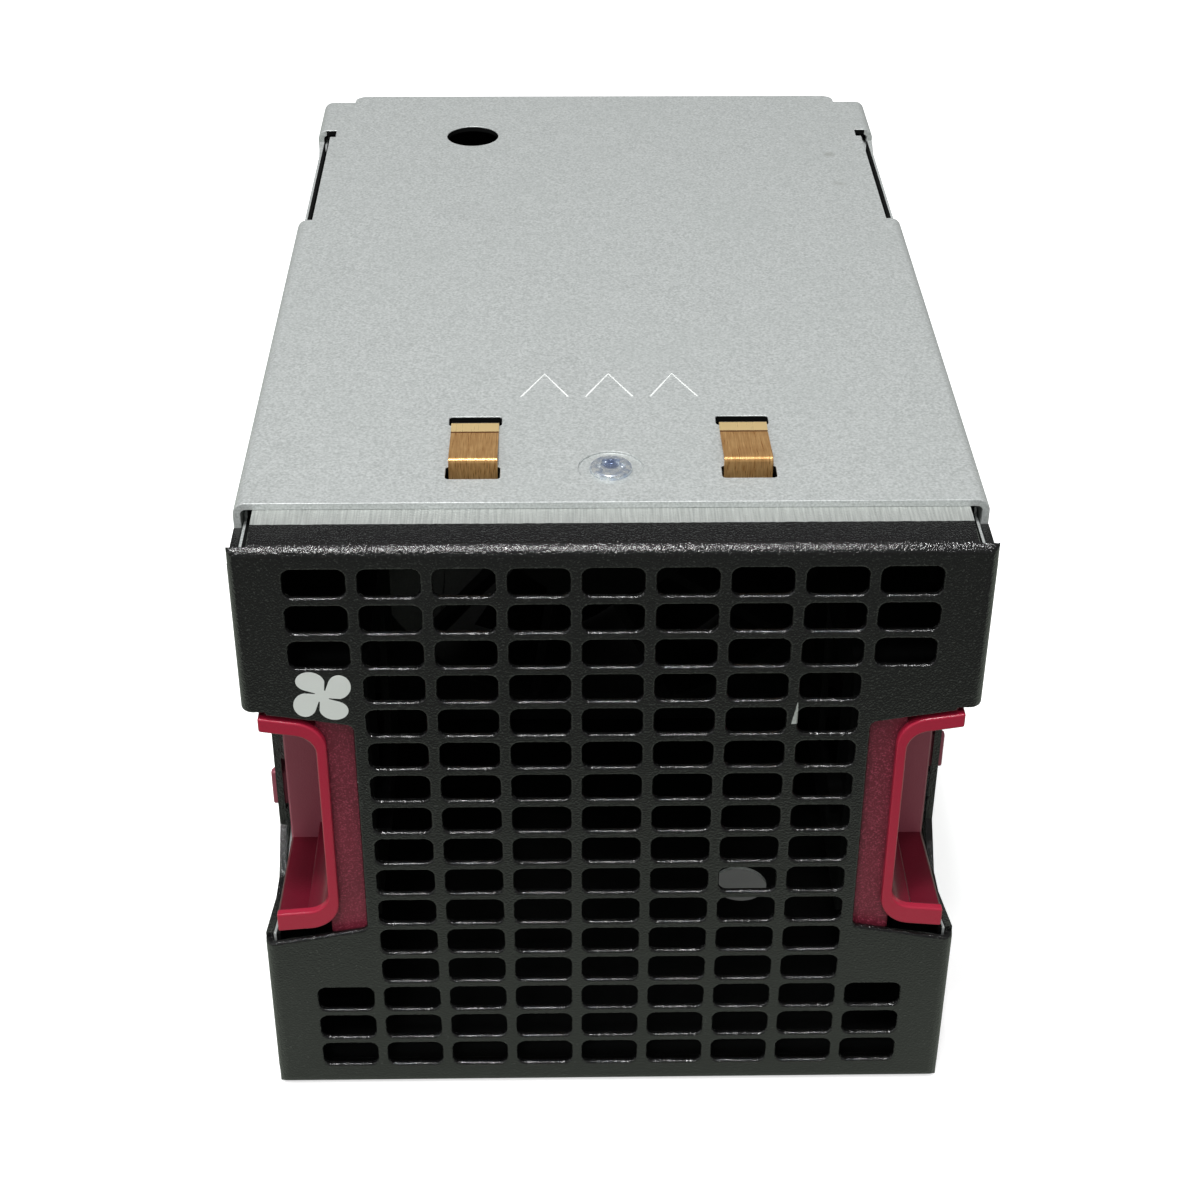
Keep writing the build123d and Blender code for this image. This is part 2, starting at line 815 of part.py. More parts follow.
    # Spring between the bracket's wall and the pocket, that pushes the latch outwards
    with BuildPart() as spring:
        start = wall + sheet + spring_wire + seat_gap
        length = root - wall - sheet - 2 * (spring_wire + seat_gap)
        seat = (side * start, at(spring_depth), axis_height - spring_drop)
        with BuildLine():
            coil = Helix(length / spring_turns, length, spring_radius, seat, (side, 0, 0))
        with BuildSketch(Plane(origin=coil @ 0, z_dir=coil % 0)):
            RegularPolygon(spring_wire, 6)
        sweep(path=coil, is_frenet=True)
    finish(spring, f"{name}_latch_spring")

# Rear panel: a tray of sheet with the air inlet, its guard and the connector opening
with BuildPart() as rear_panel:
    block(
        (-panel_half, at(panel_face - panel_flange), panel_low),
        (panel_half, at(panel_face), panel_high),
    )
    fillet(rear_panel.edges().filter_by(Axis.Y), bend_radius)
    fillet(rear_panel.faces().sort_by(Axis.Y)[-1].edges(), bend_radius)
    offset(amount=-sheet, openings=rear_panel.faces().sort_by(Axis.Y)[0])
    with BuildSketch(on_axis(panel_face - 2 * sheet)):
        ring_pitch = (bore_radius - guard_hub_radius) / guard_rings
        for ring in reversed(range(guard_rings)):
            inner_radius = guard_hub_radius + ring * ring_pitch
            Circle(inner_radius + ring_pitch - guard_ring_width)
            Circle(inner_radius, mode=Mode.SUBTRACT)
        with PolarLocations(0, guard_spokes // 2, start_angle=guard_spoke_turn):
            Rectangle(2 * bore_radius, guard_spoke_width, mode=Mode.SUBTRACT)
    extrude(amount=3 * sheet, mode=Mode.SUBTRACT)
    with BuildSketch(on_axis(panel_face - 2 * sheet)):
        with Locations((connector_offset, connector_offset)):
            Rectangle(connector_size + 2 * fit_gap, connector_size + 2 * fit_gap)
        for corner in ((-hole_half, hole_half), (-hole_half, -hole_half), (hole_half, -hole_half)):
            with Locations(corner):
                Circle(screw_hole_radius)
    extrude(amount=3 * sheet, mode=Mode.SUBTRACT)
    rivet_holes(panel_rivet_places())
finish(rear_panel, "rear_panel")

# Inlet duct: a round sleeve on a square flange, with posts for three long screws
post_places = [(-hole_half, hole_half), (-hole_half, -hole_half), (hole_half, -hole_half)]
with BuildPart() as inlet_duct:
    with BuildSketch(on_axis(fan_end + seat_gap)):
        RectangleRounded(fan_size, fan_size, fan_corner)
        Circle(bore_radius, mode=Mode.SUBTRACT)
    extrude(amount=duct_flange)
    tube(fan_end + seat_gap, duct_end, bore_radius + duct_wall, bore_radius)
    with BuildSketch(on_axis(fan_end + seat_gap)):
        with Locations(*post_places):
            Circle(post_radius)
    extrude(amount=duct_end - fan_end - seat_gap)
    with BuildSketch(on_axis(fan_end - overrun)):
        with GridLocations(2 * hole_half, 2 * hole_half, 2, 2):
            Circle(screw_radius + fit_gap)
    extrude(amount=case_depth, mode=Mode.SUBTRACT)
finish(inlet_duct, "inlet_duct")

# Fan housing: a barrel between two square flanges, with stator vanes that carry the motor base
with BuildPart() as fan_housing:
    for start in (fan_start, fan_end - fan_flange):
        with BuildSketch(on_axis(start)):
            RectangleRounded(fan_size, fan_size, fan_corner)
        extrude(amount=fan_flange)
    with BuildSketch(on_axis(fan_start)):
        Circle(bore_radius + barrel_wall)
    extrude(amount=fan_depth)
    with BuildSketch(on_axis(fan_start - overrun)):
        Circle(bore_radius)
        with GridLocations(2 * hole_half, 2 * hole_half, 2, 2):
            Circle(screw_hole_radius)
    extrude(amount=fan_depth + 2 * overrun, mode=Mode.SUBTRACT)
    for index in range(vane_count):
        with BuildSketch(radial(index * 360 / vane_count, base_radius - barrel_wall, fan_start)):
            with BuildLine():
                outer_face = ThreePointArc(
                    (0, -vane_turn),
                    (vane_length / 2, -vane_turn / 4),
                    (vane_length, 0),
                )
                inner_face = ThreePointArc(
                    (vane_length, -vane_sheet),
                    (vane_length / 2, -vane_turn / 4 - vane_sheet),
                    (0, -vane_turn - vane_sheet),
                )
                Line(outer_face @ 1, inner_face @ 0)
                Line(inner_face @ 1, outer_face @ 0)
            make_face()
        extrude(amount=bore_radius - base_radius + barrel_wall + barrel_wall / 2)
    with BuildSketch(on_axis(fan_start)):
        Circle(base_radius)
    extrude(amount=base_sheet)
    with BuildSketch(on_axis(base_end)):
        Circle(tube_outer + 2 * running_gap, mode=Mode.ADD)
    extrude(amount=fan_depth, mode=Mode.SUBTRACT)
finish(fan_housing, "fan_housing")


# Impeller: twisted blades on a hub
def blade_section(angle, radius, chord, stagger, thickness, camber):
    """A lens section with a curved middle line, square to a radius of the fan."""
    along = (cos(radians(stagger)), sin(radians(stagger)))
    normal = (-along[1], along[0])

    def place(run, rise):
        return (along[0] * run + normal[0] * rise, along[1] * run + normal[1] * rise)

    nose = place(-chord / 2, 0)
    tail = place(chord / 2, 0)
    with BuildSketch(radial(angle, radius, rotor_middle)) as section:
        with BuildLine():
            ThreePointArc(nose, place(0, camber + thickness / 2), tail)
            ThreePointArc(tail, place(0, camber - thickness / 2), nose)
        make_face()
    return section.sketch


with BuildPart() as impeller:
    with BuildSketch(on_axis(hub_start)):
        Circle(hub_radius)
    extrude(amount=hub_length)
    nose_edge = impeller.edges().filter_by(GeomType.CIRCLE).sort_by(Axis.Y)[-1]
    fillet(nose_edge, hub_edge)
    middle_radius = (hub_radius + bore_radius) / 2
    for index in range(blade_count):
        angle = index * 360 / blade_count
        root_section = blade_section(
            angle,
            cup_outer,
            blade_root_chord,
            blade_root_stagger,
            blade_root_thickness,
            blade_root_camber,
        )
        middle_section = blade_section(
            angle,
            middle_radius,
            blade_mid_chord,
            blade_mid_stagger,
            (blade_root_thickness + blade_tip_thickness) / 2,
            (blade_root_camber + blade_tip_camber) / 2,
        )
        tip_section = blade_section(
            angle,
            bore_radius + overrun / 2,
            blade_tip_chord,
            blade_tip_stagger,
            blade_tip_thickness,
            blade_tip_camber,
        )
        loft([root_section, middle_section, tip_section])
    with BuildSketch(on_axis(hub_start)):
        Circle(bore_radius - tip_gap)
    extrude(amount=hub_length, mode=Mode.INTERSECT)
    with BuildSketch(on_axis(hub_start)):
        Circle(cup_outer + running_gap)
    extrude(amount=cup_end - hub_start + running_gap, mode=Mode.SUBTRACT)
finish(impeller, "impeller")

# Rotor: cup, ring magnet, shaft and its clip
with BuildPart() as rotor_cup:
    with BuildSketch(on_axis(hub_start + sheet)):
        Circle(cup_outer)
    extrude(amount=cup_end - hub_start - sheet)
    with BuildSketch(on_axis(hub_start)):
        Circle(cup_inner)
    extrude(amount=cup_end - cup_sheet - hub_start, mode=Mode.SUBTRACT)
    with BuildSketch(on_axis(hub_start)):
        Circle(shaft_radius)
    extrude(amount=hub_length, mode=Mode.SUBTRACT)
finish(rotor_cup, "rotor_cup")

magnet_start = hub_start + sheet + cup_sheet
with BuildPart() as rotor_magnet:
    tube(magnet_start, magnet_start + magnet_length, cup_inner, magnet_inner)
finish(rotor_magnet, "rotor_magnet")

bearing_front_start = base_end + bearing_front_offset
bearing_rear_start = base_end + bearing_rear_offset - bearing_length
clip_start = bearing_front_start - 2 * shaft_clip_sheet
with BuildPart() as rotor_shaft:
    with BuildSketch(on_axis(clip_start - sheet)):
        Circle(shaft_radius)
    extrude(amount=cup_end - clip_start + sheet)
    with BuildSketch(on_axis(clip_start)):
        Circle(shaft_radius + sheet)
        Circle(shaft_radius * shaft_groove_share, mode=Mode.SUBTRACT)
    extrude(amount=shaft_clip_sheet, mode=Mode.SUBTRACT)
finish(rotor_shaft, "rotor_shaft")

with BuildPart() as shaft_clip:
    with BuildSketch(on_axis(clip_start + seat_gap)):
        Circle(shaft_clip_radius)
        Circle(shaft_radius * shaft_groove_share + seat_gap, mode=Mode.SUBTRACT)
        with Locations((0, shaft_clip_radius)):
            Rectangle(shaft_radius, 2 * shaft_clip_radius, mode=Mode.SUBTRACT)
    extrude(amount=shaft_clip_sheet - 2 * seat_gap)
finish(shaft_clip, "shaft_clip")

with BuildPart() as preload_washer:
    washer_start = bearing_rear_start + bearing_length + seat_gap
    tube(washer_start, washer_start + washer_sheet, washer_radius, shaft_radius + seat_gap)
finish(preload_washer, "preload_washer")

# Bearings in their tube
for name, start in (("front", bearing_front_start), ("rear", bearing_rear_start)):
    with BuildPart() as bearing:
        tube(start, start + bearing_length, bearing_outer_radius, shaft_radius + running_gap)
    finish(bearing, f"{name}_bearing")

with BuildPart() as bearing_tube:
    tube_end = bearing_rear_start + bearing_length
    tube(base_end, tube_end, tube_outer, bearing_outer_radius + running_gap)
finish(bearing_tube, "bearing_tube")


# Stator: toothed core, insulating end plates and coils
def core_face(start, length):
    """The toothed section of the stator, from start over this length."""
    gap_width = core_outer * (1 - tooth_tip_share)
    gap_turn = 180 / core_slots
    with BuildSketch(on_axis(start)) as section:
        Circle(core_outer)
        Circle(core_outer - tooth_tip, mode=Mode.SUBTRACT)
        with PolarLocations(core_outer, core_slots, start_angle=gap_turn):
            Rectangle(core_outer / 2, gap_width, mode=Mode.SUBTRACT)
        with PolarLocations(core_outer / 2, core_slots):
            Rectangle(core_outer - sheet, tooth_width)
        Circle(tube_outer + running_gap + core_ring)
        Circle(tube_outer + running_gap, mode=Mode.SUBTRACT)
    extrude(section.sketch, amount=length)


core_start = magnet_start + (magnet_length - core_length) / 2
with BuildPart() as stator_core:
    core_face(core_start, core_length)
finish(stator_core, "stator_core")

with BuildPart() as stator_insulators:
    core_face(core_start - insulator_sheet, insulator_sheet)
    core_face(core_start + core_length, insulator_sheet)
finish(stator_insulators, "stator_insulators")

with BuildPart() as stator_coils:
    coil_inner = tube_outer + core_ring + sheet / 2
    coil_outer = core_outer - tooth_tip - sheet / 2
    coil_hole = core_length + 2 * insulator_sheet + 2 * running_gap
    for index in range(core_slots):
        coil_depth = core_start + core_length / 2
        with BuildSketch(radial(index * 360 / core_slots, coil_inner, coil_depth)):
            Rectangle(coil_hole + 2 * coil_build, tooth_width + 2 * coil_build)
            Rectangle(coil_hole, tooth_width + 2 * running_gap, mode=Mode.SUBTRACT)
        extrude(amount=coil_outer - coil_inner)
finish(stator_coils, "stator_coils")

# Motor board and its capacitors
board_start = base_end + board_offset - board_sheet
with BuildPart() as motor_board:
    tube(board_start, board_start + board_sheet, cup_outer, tube_outer + fit_gap)
finish(motor_board, "motor_board")

with BuildPart() as board_capacitors:
    with BuildSketch(on_axis(base_end + seat_gap)):
        with PolarLocations(cup_outer * capacitor_ring_share, capacitor_count):
            Circle(capacitor_radius)
    extrude(amount=board_start - base_end - seat_gap)
finish(board_capacitors, "board_capacitors")

# Fan screws: three long ones from the rear panel, a short one beside the connector
with BuildPart() as fan_screws:
    for start, places in (
        (panel_face + seat_gap, post_places),
        (fan_end + duct_flange + 2 * seat_gap, [(hole_half, hole_half)]),
    ):
        with BuildSketch(on_axis(start)):
            with Locations(*places):
                Circle(screw_head_radius)
        extrude(amount=screw_head)
        with BuildSketch(on_axis(start)):
            with Locations(*places):
                Circle(screw_radius)
        extrude(amount=-(start - fan_end + fan_flange))
        star_drive(on_axis(start + screw_head), places)
finish(fan_screws, "fan_screws")

# Power connector that plugs in as the fan slides home
connector_end = panel_face + connector_protrusion
connector_start = connector_end - connector_length
with BuildPart() as power_connector:
    with BuildSketch(on_axis(connector_start)):
        with Locations((connector_offset, connector_offset)):
            Rectangle(connector_size, connector_size)
    extrude(amount=connector_length)
    with BuildSketch(on_axis(panel_face - sheet - seat_gap)):
        with Locations((connector_offset, connector_offset)):
            Rectangle(connector_size + 2 * connector_collar, connector_size + 2 * connector_collar)
    extrude(amount=-connector_collar_length)
    socket_pitch = connector_size / contact_count
    with BuildSketch(on_axis(connector_end)):
        with Locations((connector_offset, connector_offset)):
            with GridLocations(socket_pitch, 0, contact_count, 1):
                Rectangle(socket_width, connector_size - 2 * socket_width)
    extrude(amount=-socket_depth, mode=Mode.SUBTRACT)
finish(power_connector, "power_connector")

with BuildPart() as connector_contacts:
    with BuildSketch(on_axis(connector_end - socket_depth)):
        with Locations((connector_offset, connector_offset)):
            with GridLocations(socket_pitch, 0, contact_count, 1):
                Rectangle(contact_sheet, connector_size / 2)
    extrude(amount=socket_depth - sheet)
finish(connector_contacts, "connector_contacts")

# Rivets
with BuildPart() as bezel_rivets:
    for side, depth, height in rivet_places():
        rivet(side, depth, height, tray_inner, half_width)
finish(bezel_rivets, "bezel_rivets")

with BuildPart() as bracket_rivets:
    for side, depth, height in bracket_rivet_places():
        rivet(side, depth, height, tray_inner - sheet, tray_half)
finish(bracket_rivets, "bracket_rivets")

with BuildPart() as panel_rivets:
    for side, depth, height in panel_rivet_places():
        rivet(side, depth, height, panel_half - sheet, tray_half)
finish(panel_rivets, "panel_rivets")
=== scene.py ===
import bmesh
import bpy
import json
from collections import Counter
from math import cos, pi, radians, sin, sqrt
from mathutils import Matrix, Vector

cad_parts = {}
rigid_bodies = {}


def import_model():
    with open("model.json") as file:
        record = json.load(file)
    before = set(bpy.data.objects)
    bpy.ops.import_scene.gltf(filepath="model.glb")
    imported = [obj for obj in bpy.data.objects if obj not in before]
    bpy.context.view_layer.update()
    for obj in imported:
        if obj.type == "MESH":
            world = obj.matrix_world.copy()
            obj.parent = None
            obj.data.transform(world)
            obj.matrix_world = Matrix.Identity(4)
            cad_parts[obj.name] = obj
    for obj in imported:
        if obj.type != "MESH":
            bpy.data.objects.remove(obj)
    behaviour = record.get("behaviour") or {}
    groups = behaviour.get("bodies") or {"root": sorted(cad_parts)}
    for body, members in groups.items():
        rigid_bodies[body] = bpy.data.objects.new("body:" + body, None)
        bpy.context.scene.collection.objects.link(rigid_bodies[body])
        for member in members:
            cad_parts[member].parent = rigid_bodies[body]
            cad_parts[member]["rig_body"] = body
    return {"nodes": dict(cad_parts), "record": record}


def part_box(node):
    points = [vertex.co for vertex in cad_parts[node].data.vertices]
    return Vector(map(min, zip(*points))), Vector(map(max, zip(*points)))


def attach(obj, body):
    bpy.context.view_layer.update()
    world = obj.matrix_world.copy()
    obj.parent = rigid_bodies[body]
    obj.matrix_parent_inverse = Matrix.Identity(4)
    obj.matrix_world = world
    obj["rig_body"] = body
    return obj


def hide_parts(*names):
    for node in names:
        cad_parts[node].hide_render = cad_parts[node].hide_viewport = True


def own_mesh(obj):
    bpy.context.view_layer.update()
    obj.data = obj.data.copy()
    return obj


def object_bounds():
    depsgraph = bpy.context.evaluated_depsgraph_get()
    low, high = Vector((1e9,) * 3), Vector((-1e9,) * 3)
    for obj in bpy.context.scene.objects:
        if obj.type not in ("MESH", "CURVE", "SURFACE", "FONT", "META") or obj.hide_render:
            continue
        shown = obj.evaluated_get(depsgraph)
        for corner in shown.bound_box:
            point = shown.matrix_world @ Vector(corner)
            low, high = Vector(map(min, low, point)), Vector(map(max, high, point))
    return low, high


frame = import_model()
cad_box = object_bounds()

# The looks of a plug-in server fan: a slotted black bezel, a zinc-coated case and wine-red latches.
# Sizes are in metres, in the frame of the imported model: X to the right, Y to the rear, Z up.
MM = 0.001

# Faces of the case; the catches of the latches stand out of its sides
CATCH_REACH = 1.0 * MM
front = cad_box[0].y
rear = cad_box[1].y
half_width = cad_box[1].x - CATCH_REACH
case_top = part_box("top_cover")[1].z
panel_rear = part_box("rear_panel")[1].y

# Camera, as solved from the rows and columns of the grille
CAMERA_PLACE = Vector((-6.75, -310.35, 242.35)) * MM
CAMERA_TILT = radians(90 - 33.70)
CAMERA_YAW = radians(-1.02)
CAMERA_ROLL = radians(-0.36)
CAMERA_LENS = 66.37
CAMERA_SENSOR = 36.0
CAMERA_NEAR = 0.01

# Edges: how far the coat, the sheet and the mouldings are rounded
COAT_ROUND = 0.42 * MM
FACE_BAND = 0.05 * MM
SHEET_ROUND = 0.12 * MM
GRIP_ROUND = 0.30 * MM
MOULDED_ROUND = 0.25 * MM
STRIP_ROUND = 0.05 * MM
WELD = 0.002 * MM
FLAT_ANGLE = radians(0.5)
SHARP_ANGLE = radians(32)

# Wear and marks on the bezel: a bare strip on its top flange, a long chip and a small nick
BARE_STRIP_START = front + 6.2 * MM
BARE_STRIP_LOW = case_top - 3.0 * MM
CHIP_LOW = Vector((24.15, 0, 66.3)) * MM
CHIP_HIGH = Vector((24.40, 0, 70.2)) * MM
CHIP_WIDTH = 0.50 * MM
CHIP_TAPER = 1.12
FRAY_SIZE = 0.3 * MM
FRAY_SHARE = 0.35
FACE_DEPTH = 0.5 * MM
NICK = Vector((-34.2, 0, 57.0)) * MM
NICK_RADIUS = 0.22 * MM

# Printed fan sign on the bezel
SIGN_CENTRE = Vector((-38.0, 0, 71.4)) * MM
SIGN_RADIUS = 4.4 * MM
SIGN_INK = 0.03 * MM
SIGN_LOBES = 4
SIGN_TURN = radians(15)
SIGN_TWIST = radians(24)
SIGN_HUB_SHARE = 0.22
LOBE_PLACE_SHARE = 0.61
LOBE_ROUND_SHARE = 0.39
SIGN_STEPS = 240

# Pressed arrows on the cover, that point the way in; their near-white tone is a painted highlight
ARROW_MIDDLE = Vector((0.2 * MM, front + 41.3 * MM, case_top))
ARROW_HALF_WIDTH = 3.3 * MM
ARROW_HALF_LENGTH = 3.4 * MM
ARROW_PITCH = 9.0 * MM
ARROW_COUNT = 3
ARROW_STROKE = 0.18 * MM
ARROW_SUNK_SHARE = 0.50
STROKE_SIDES = 8

# Grounding clips: where their sheet is creased, and where it dips into the rear slot; light and shade are
# painted on the clip at these lines
CREASE = front + 27.4 * MM
CREASE_WIDTH = 0.18 * MM
CLIP_REAR = front + 29.5 * MM

# Cover screw: the middle of its star socket, where shade is painted
SCREW_SOCKET = Vector((0, front + 19.2 * MM, case_top))
SOCKET_RADIUS = 1.5 * MM

# How far the inner faces of the case lie inside its outline; shade is painted on these faces as a near-black
# tone
CASE_LAYERS = 1.5 * MM
CASE_SHEET = 0.6 * MM
COVER_SHEET = 1.05 * MM

# The cut edges of the cover's slots get this painted shade too, but not those near its front end and its
# screw
COVER_SKIN = 0.15 * MM
COVER_START = 10.0 * MM
SCREW_ROOM = 8.0 * MM

# Latch: the depth of its pocket, the middle of the pocket's inner wall, and how far its rim stands out
POCKET_DEPTH = 19.9 * MM
POCKET_INNER = 39.45 * MM
RIM_DEPTH = 1.05 * MM
RIM_BLEND = 0.1 * MM

# Rivets: the height of a head and the radius of the shank, as shares of the head's radius
RIVET_HEAD_SHARE = 0.3
RIVET_SHANK_SHARE = 0.6
# Outlines of the two heads: how far down from the top, and how far out, as shares of height and radius
OUTER_HEAD_SHARES = ((0.4, 0), (0.3, 0.30), (0, 0.42), (0.15, 0.65), (0.45, 0.86), (0.8, 1), (1, 0.98))
INNER_HEAD_SHARES = ((1, 0.9), (0.7, 1), (0.2, 0.7), (0, 0))
RIVET_SIDES = 24
# Pieces that stand for the rivets of each node, and how thick a stack of sheet they hold
RIVET_ROWS = {
    "bezel_rivets": ("bezel_rivet_heads", 2.1 * MM),
    "bracket_rivets": ("bracket_rivet_heads", 2.0 * MM),
    "panel_rivets": ("panel_rivet_heads", 2.1 * MM),
}

# Floor: its size, how far it lies under the part, how brightly it glows to the camera, and how faintly under
# the case, where its shadow is painted
FLOOR_HALF_SIZE = 3.0
FLOOR_DROP = 0.02 * MM
FLOOR_GLOW = 0.55
GLOW_IN_SHADOW_UNDER_CASE = 0.05
# All rays but the camera's find it darker, as painted shade, and darkest beyond the second of these lines in
# front
DIM_FLOOR_NEAR = front - 35 * MM
DIM_FLOOR_FAR = front - 75 * MM

# Lamps: name, place, size and power; the two small ones give the edges of the slots their shine
LAMPS = (
    ("sharp_box", (-0.10, -0.28, 0.98), 0.12, 5.4),
    ("front_glint", (-0.08, -0.55, 0.93), 0.08, 1.6),
    ("overhead_box", (-0.15, 0.12, 0.95), 0.7, 0.6),
    ("left_box", (-0.9, -0.35, 0.5), 0.5, 0.8),
)

# The room lights the part mostly from the front. It is dim in mirror images, and white to the camera
ROOM_FRONT = 0.85
ROOM_BACK = 0.40
MIRRORED_FRONT = 0.20
MIRRORED_BACK = 0.13
ROOM_TURN_FRONT = -0.7
ROOM_TURN_BACK = 0.2

# Stains on the cover, and how far round each the sheet is dull
STAINS = (Vector((40.2, 48.7, 95.0)) * MM, Vector((40.5, 35.8, 95.0)) * MM)
STAIN_RADIUS = 2.6 * MM

# A spot is whole out to this share of its radius, and fades from there
SPOT_CORE_SHARE = 0.5


# Node trees
def add(tree, kind, inputs=None, **settings):
    """Adds a node, with its settings and with a value or a link for each input."""
    made = tree.nodes.new(kind)
    for name, value in settings.items():
        setattr(made, name, value)
    for key, value in (inputs or {}).items():
        if isinstance(value, bpy.types.NodeSocket):
            tree.links.new(value, made.inputs[key])
        else:
            made.inputs[key].default_value = value
    return made


def maths(tree, operation, a, b=0.0):
    """A sum on one or two values."""
    return add(tree, "ShaderNodeMath", {0: a, 1: b}, operation=operation).outputs[0]


def spread(tree, value, low, high, to_low=0.0, to_high=1.0):
    """Stretches value from the range low to high onto another range, and stops at its ends."""
    inputs = {"Value": value, 1: low, 2: high, 3: to_low, 4: to_high}
    return add(tree, "ShaderNodeMapRange", inputs).outputs["Result"]


def object_place(tree):
    """The place of a point of the piece, in metres."""
    return add(tree, "ShaderNodeTexCoord").outputs["Object"]


def grain(tree, size, stretch=(1, 1, 1), detail=2.0):
    """Soft noise whose spots are about this size, longer where stretch is below 1."""
    scale = Vector(stretch) / size
    mapped = add(tree, "ShaderNodeMapping", {"Vector": object_place(tree), "Scale": scale})
    inputs = {"Vector": mapped.outputs[0], "Scale": 1.0, "Detail": detail}
    return add(tree, "ShaderNodeTexNoise", inputs).outputs["Fac"]


def blend_colors(tree, factor, first, second):
    """A colour between first and second."""
    made = add(tree, "ShaderNodeMix", data_type="RGBA")
    for index, value in ((0, factor), (6, first), (7, second)):
        if isinstance(value, bpy.types.NodeSocket):
            tree.links.new(value, made.inputs[index])
        else:
            made.inputs[index].default_value = value
    return made.outputs[2]


def rgb(red, green, blue):
    """A linear colour from the 0 to 255 values that a picture shows."""
    values = [value / 255 for value in (red, green, blue)]
    linear = [v / 12.92 if v <= 0.04045 else ((v + 0.055) / 1.055) ** 2.4 for v in values]
    return (*linear, 1)


# Colours of the finishes, and the sizes of their grain
COAT_DARK = rgb(8, 8, 9)
COAT_LIGHT = rgb(12, 12, 12)
COAT_PEBBLE = rgb(58, 60, 58)
BARE_DARK = rgb(168, 172, 169)
BARE_LIGHT = rgb(204, 208, 204)
PEBBLE_SIZE = 0.30 * MM
PEBBLE_RELIEF = 0.13 * MM
COAT_FINE_SIZE = 0.17 * MM
COAT_CLOUD_SIZE = 30 * MM
COAT_THICKNESS = 0.05 * MM
STRIP_EDGE_SIZE = 0.8 * MM
STRIP_EDGE_WANDER = 0.25 * MM
STREAK_SIZE = 0.25 * MM

ZINC_DARK = rgb(177, 182, 180)
ZINC_LIGHT = rgb(220, 224, 223)
ZINC_ROLLED = rgb(206, 210, 209)
ZINC_CLOUD = rgb(172, 177, 175)
ZINC_STAIN = rgb(150, 152, 144)
# Painted shade: the near-black tone of the case's inner faces
ZINC_PAINTED_SHADE = rgb(15, 16, 16)
SPECKLE_SIZE = 0.34 * MM
ROLLED_SIZE = 0.5 * MM
ZINC_CLOUD_SIZE = 14 * MM
SPECKLE_RELIEF = 0.008 * MM

BRONZE_DARK = rgb(186, 133, 76)
BRONZE_LIGHT = rgb(233, 189, 128)
BRONZE_CLOUD = rgb(176, 126, 74)
# Painted highlight and painted shade on each grounding clip
BRONZE_BAND_HIGHLIGHT = rgb(250, 220, 160)
BRONZE_CREASE_SHADE = rgb(122, 80, 44)
BRONZE_SHADED = rgb(26, 20, 14)
BRONZE_LINE_SIZE = 0.14 * MM
BRONZE_CLOUD_SIZE = 2.5 * MM
BRONZE_RELIEF = 0.006 * MM

PLATING_DARK = rgb(186, 198, 216)
PLATING_LIGHT = rgb(232, 236, 236)
# Painted shade in the cover screw's star socket
PLATING_SOCKET_SHADE = rgb(140, 152, 178)
PLATING_CLOUD_SIZE = 0.9 * MM
MARK_SIZE = 0.2 * MM
METAL_RELIEF = 0.004 * MM

MOULD_GRAIN = 0.3 * MM
MOULD_CLOUD_SIZE = 12 * MM
MOULD_RELIEF = 0.01 * MM

WINE_DARK = rgb(98, 26, 42)
WINE_LIGHT = rgb(115, 33, 51)
WINE_SPOT = rgb(160, 66, 86)
# Painted light on the latch: lighter behind the pocket, and a lighter rim as painted highlight; the pocket
# floor is a deeper red
WINE_LEVER_LIGHT = rgb(150, 76, 90)
WINE_POCKET = rgb(100, 15, 34)
WINE_RIM_HIGHLIGHT = rgb(166, 32, 58)
WINE_GRAIN = 0.24 * MM
WINE_CLOUD_SIZE = 9 * MM
WINE_RELIEF = 0.035 * MM

PAPER_SEEN = (0.9, 0.9, 0.9, 1)
# Painted shadow: the floor under the case
PAPER_SHADOW_UNDER_CASE = rgb(100, 106, 98)
PAPER_DIM = rgb(96, 99, 95)
PAPER_LIT = rgb(158, 166, 155)


def bumpy(tree, height, depth, normal=None):
    """A normal that follows height, where a full step of it is this deep in metres."""
    inputs = {"Height": height, "Distance": depth, "Strength": 1.0}
    if normal is not None:
        inputs["Normal"] = normal
    return add(tree, "ShaderNodeBump", inputs).outputs["Normal"]


def new_finish(name):
    """An empty material, its tree, and its surface shader."""
    finish = bpy.data.materials.new(name)
    finish.use_nodes = True
    tree = finish.node_tree
    tree.nodes.clear()
    surface = add(tree, "ShaderNodeBsdfPrincipled")
    add(tree, "ShaderNodeOutputMaterial", {"Surface": surface.outputs[0]})
    return finish, tree, surface


def wire(tree, surface, **values):
    """Sets or links inputs of the surface shader; an underscore stands for a space."""
    for name, value in values.items():
        socket = surface.inputs[name.replace("_", " ")]
        if isinstance(value, bpy.types.NodeSocket):
            tree.links.new(value, socket)
        else:
            socket.default_value = value


def split_place(tree):
    """X, Y and Z of a point of the piece."""
    return add(tree, "ShaderNodeSeparateXYZ", {0: object_place(tree)}).outputs


def near_spot(tree, middle, radius, ragged=0.3):
    """1 at the middle of a round spot, falling to 0 at its ragged edge."""
    gap = add(tree, "ShaderNodeVectorMath", {0: object_place(tree), 1: middle}, operation="DISTANCE")
    frayed = maths(tree, "MULTIPLY", grain(tree, radius), ragged * radius)
    return spread(tree, maths(tree, "ADD", gap.outputs["Value"], frayed), radius, SPOT_CORE_SHARE * radius)


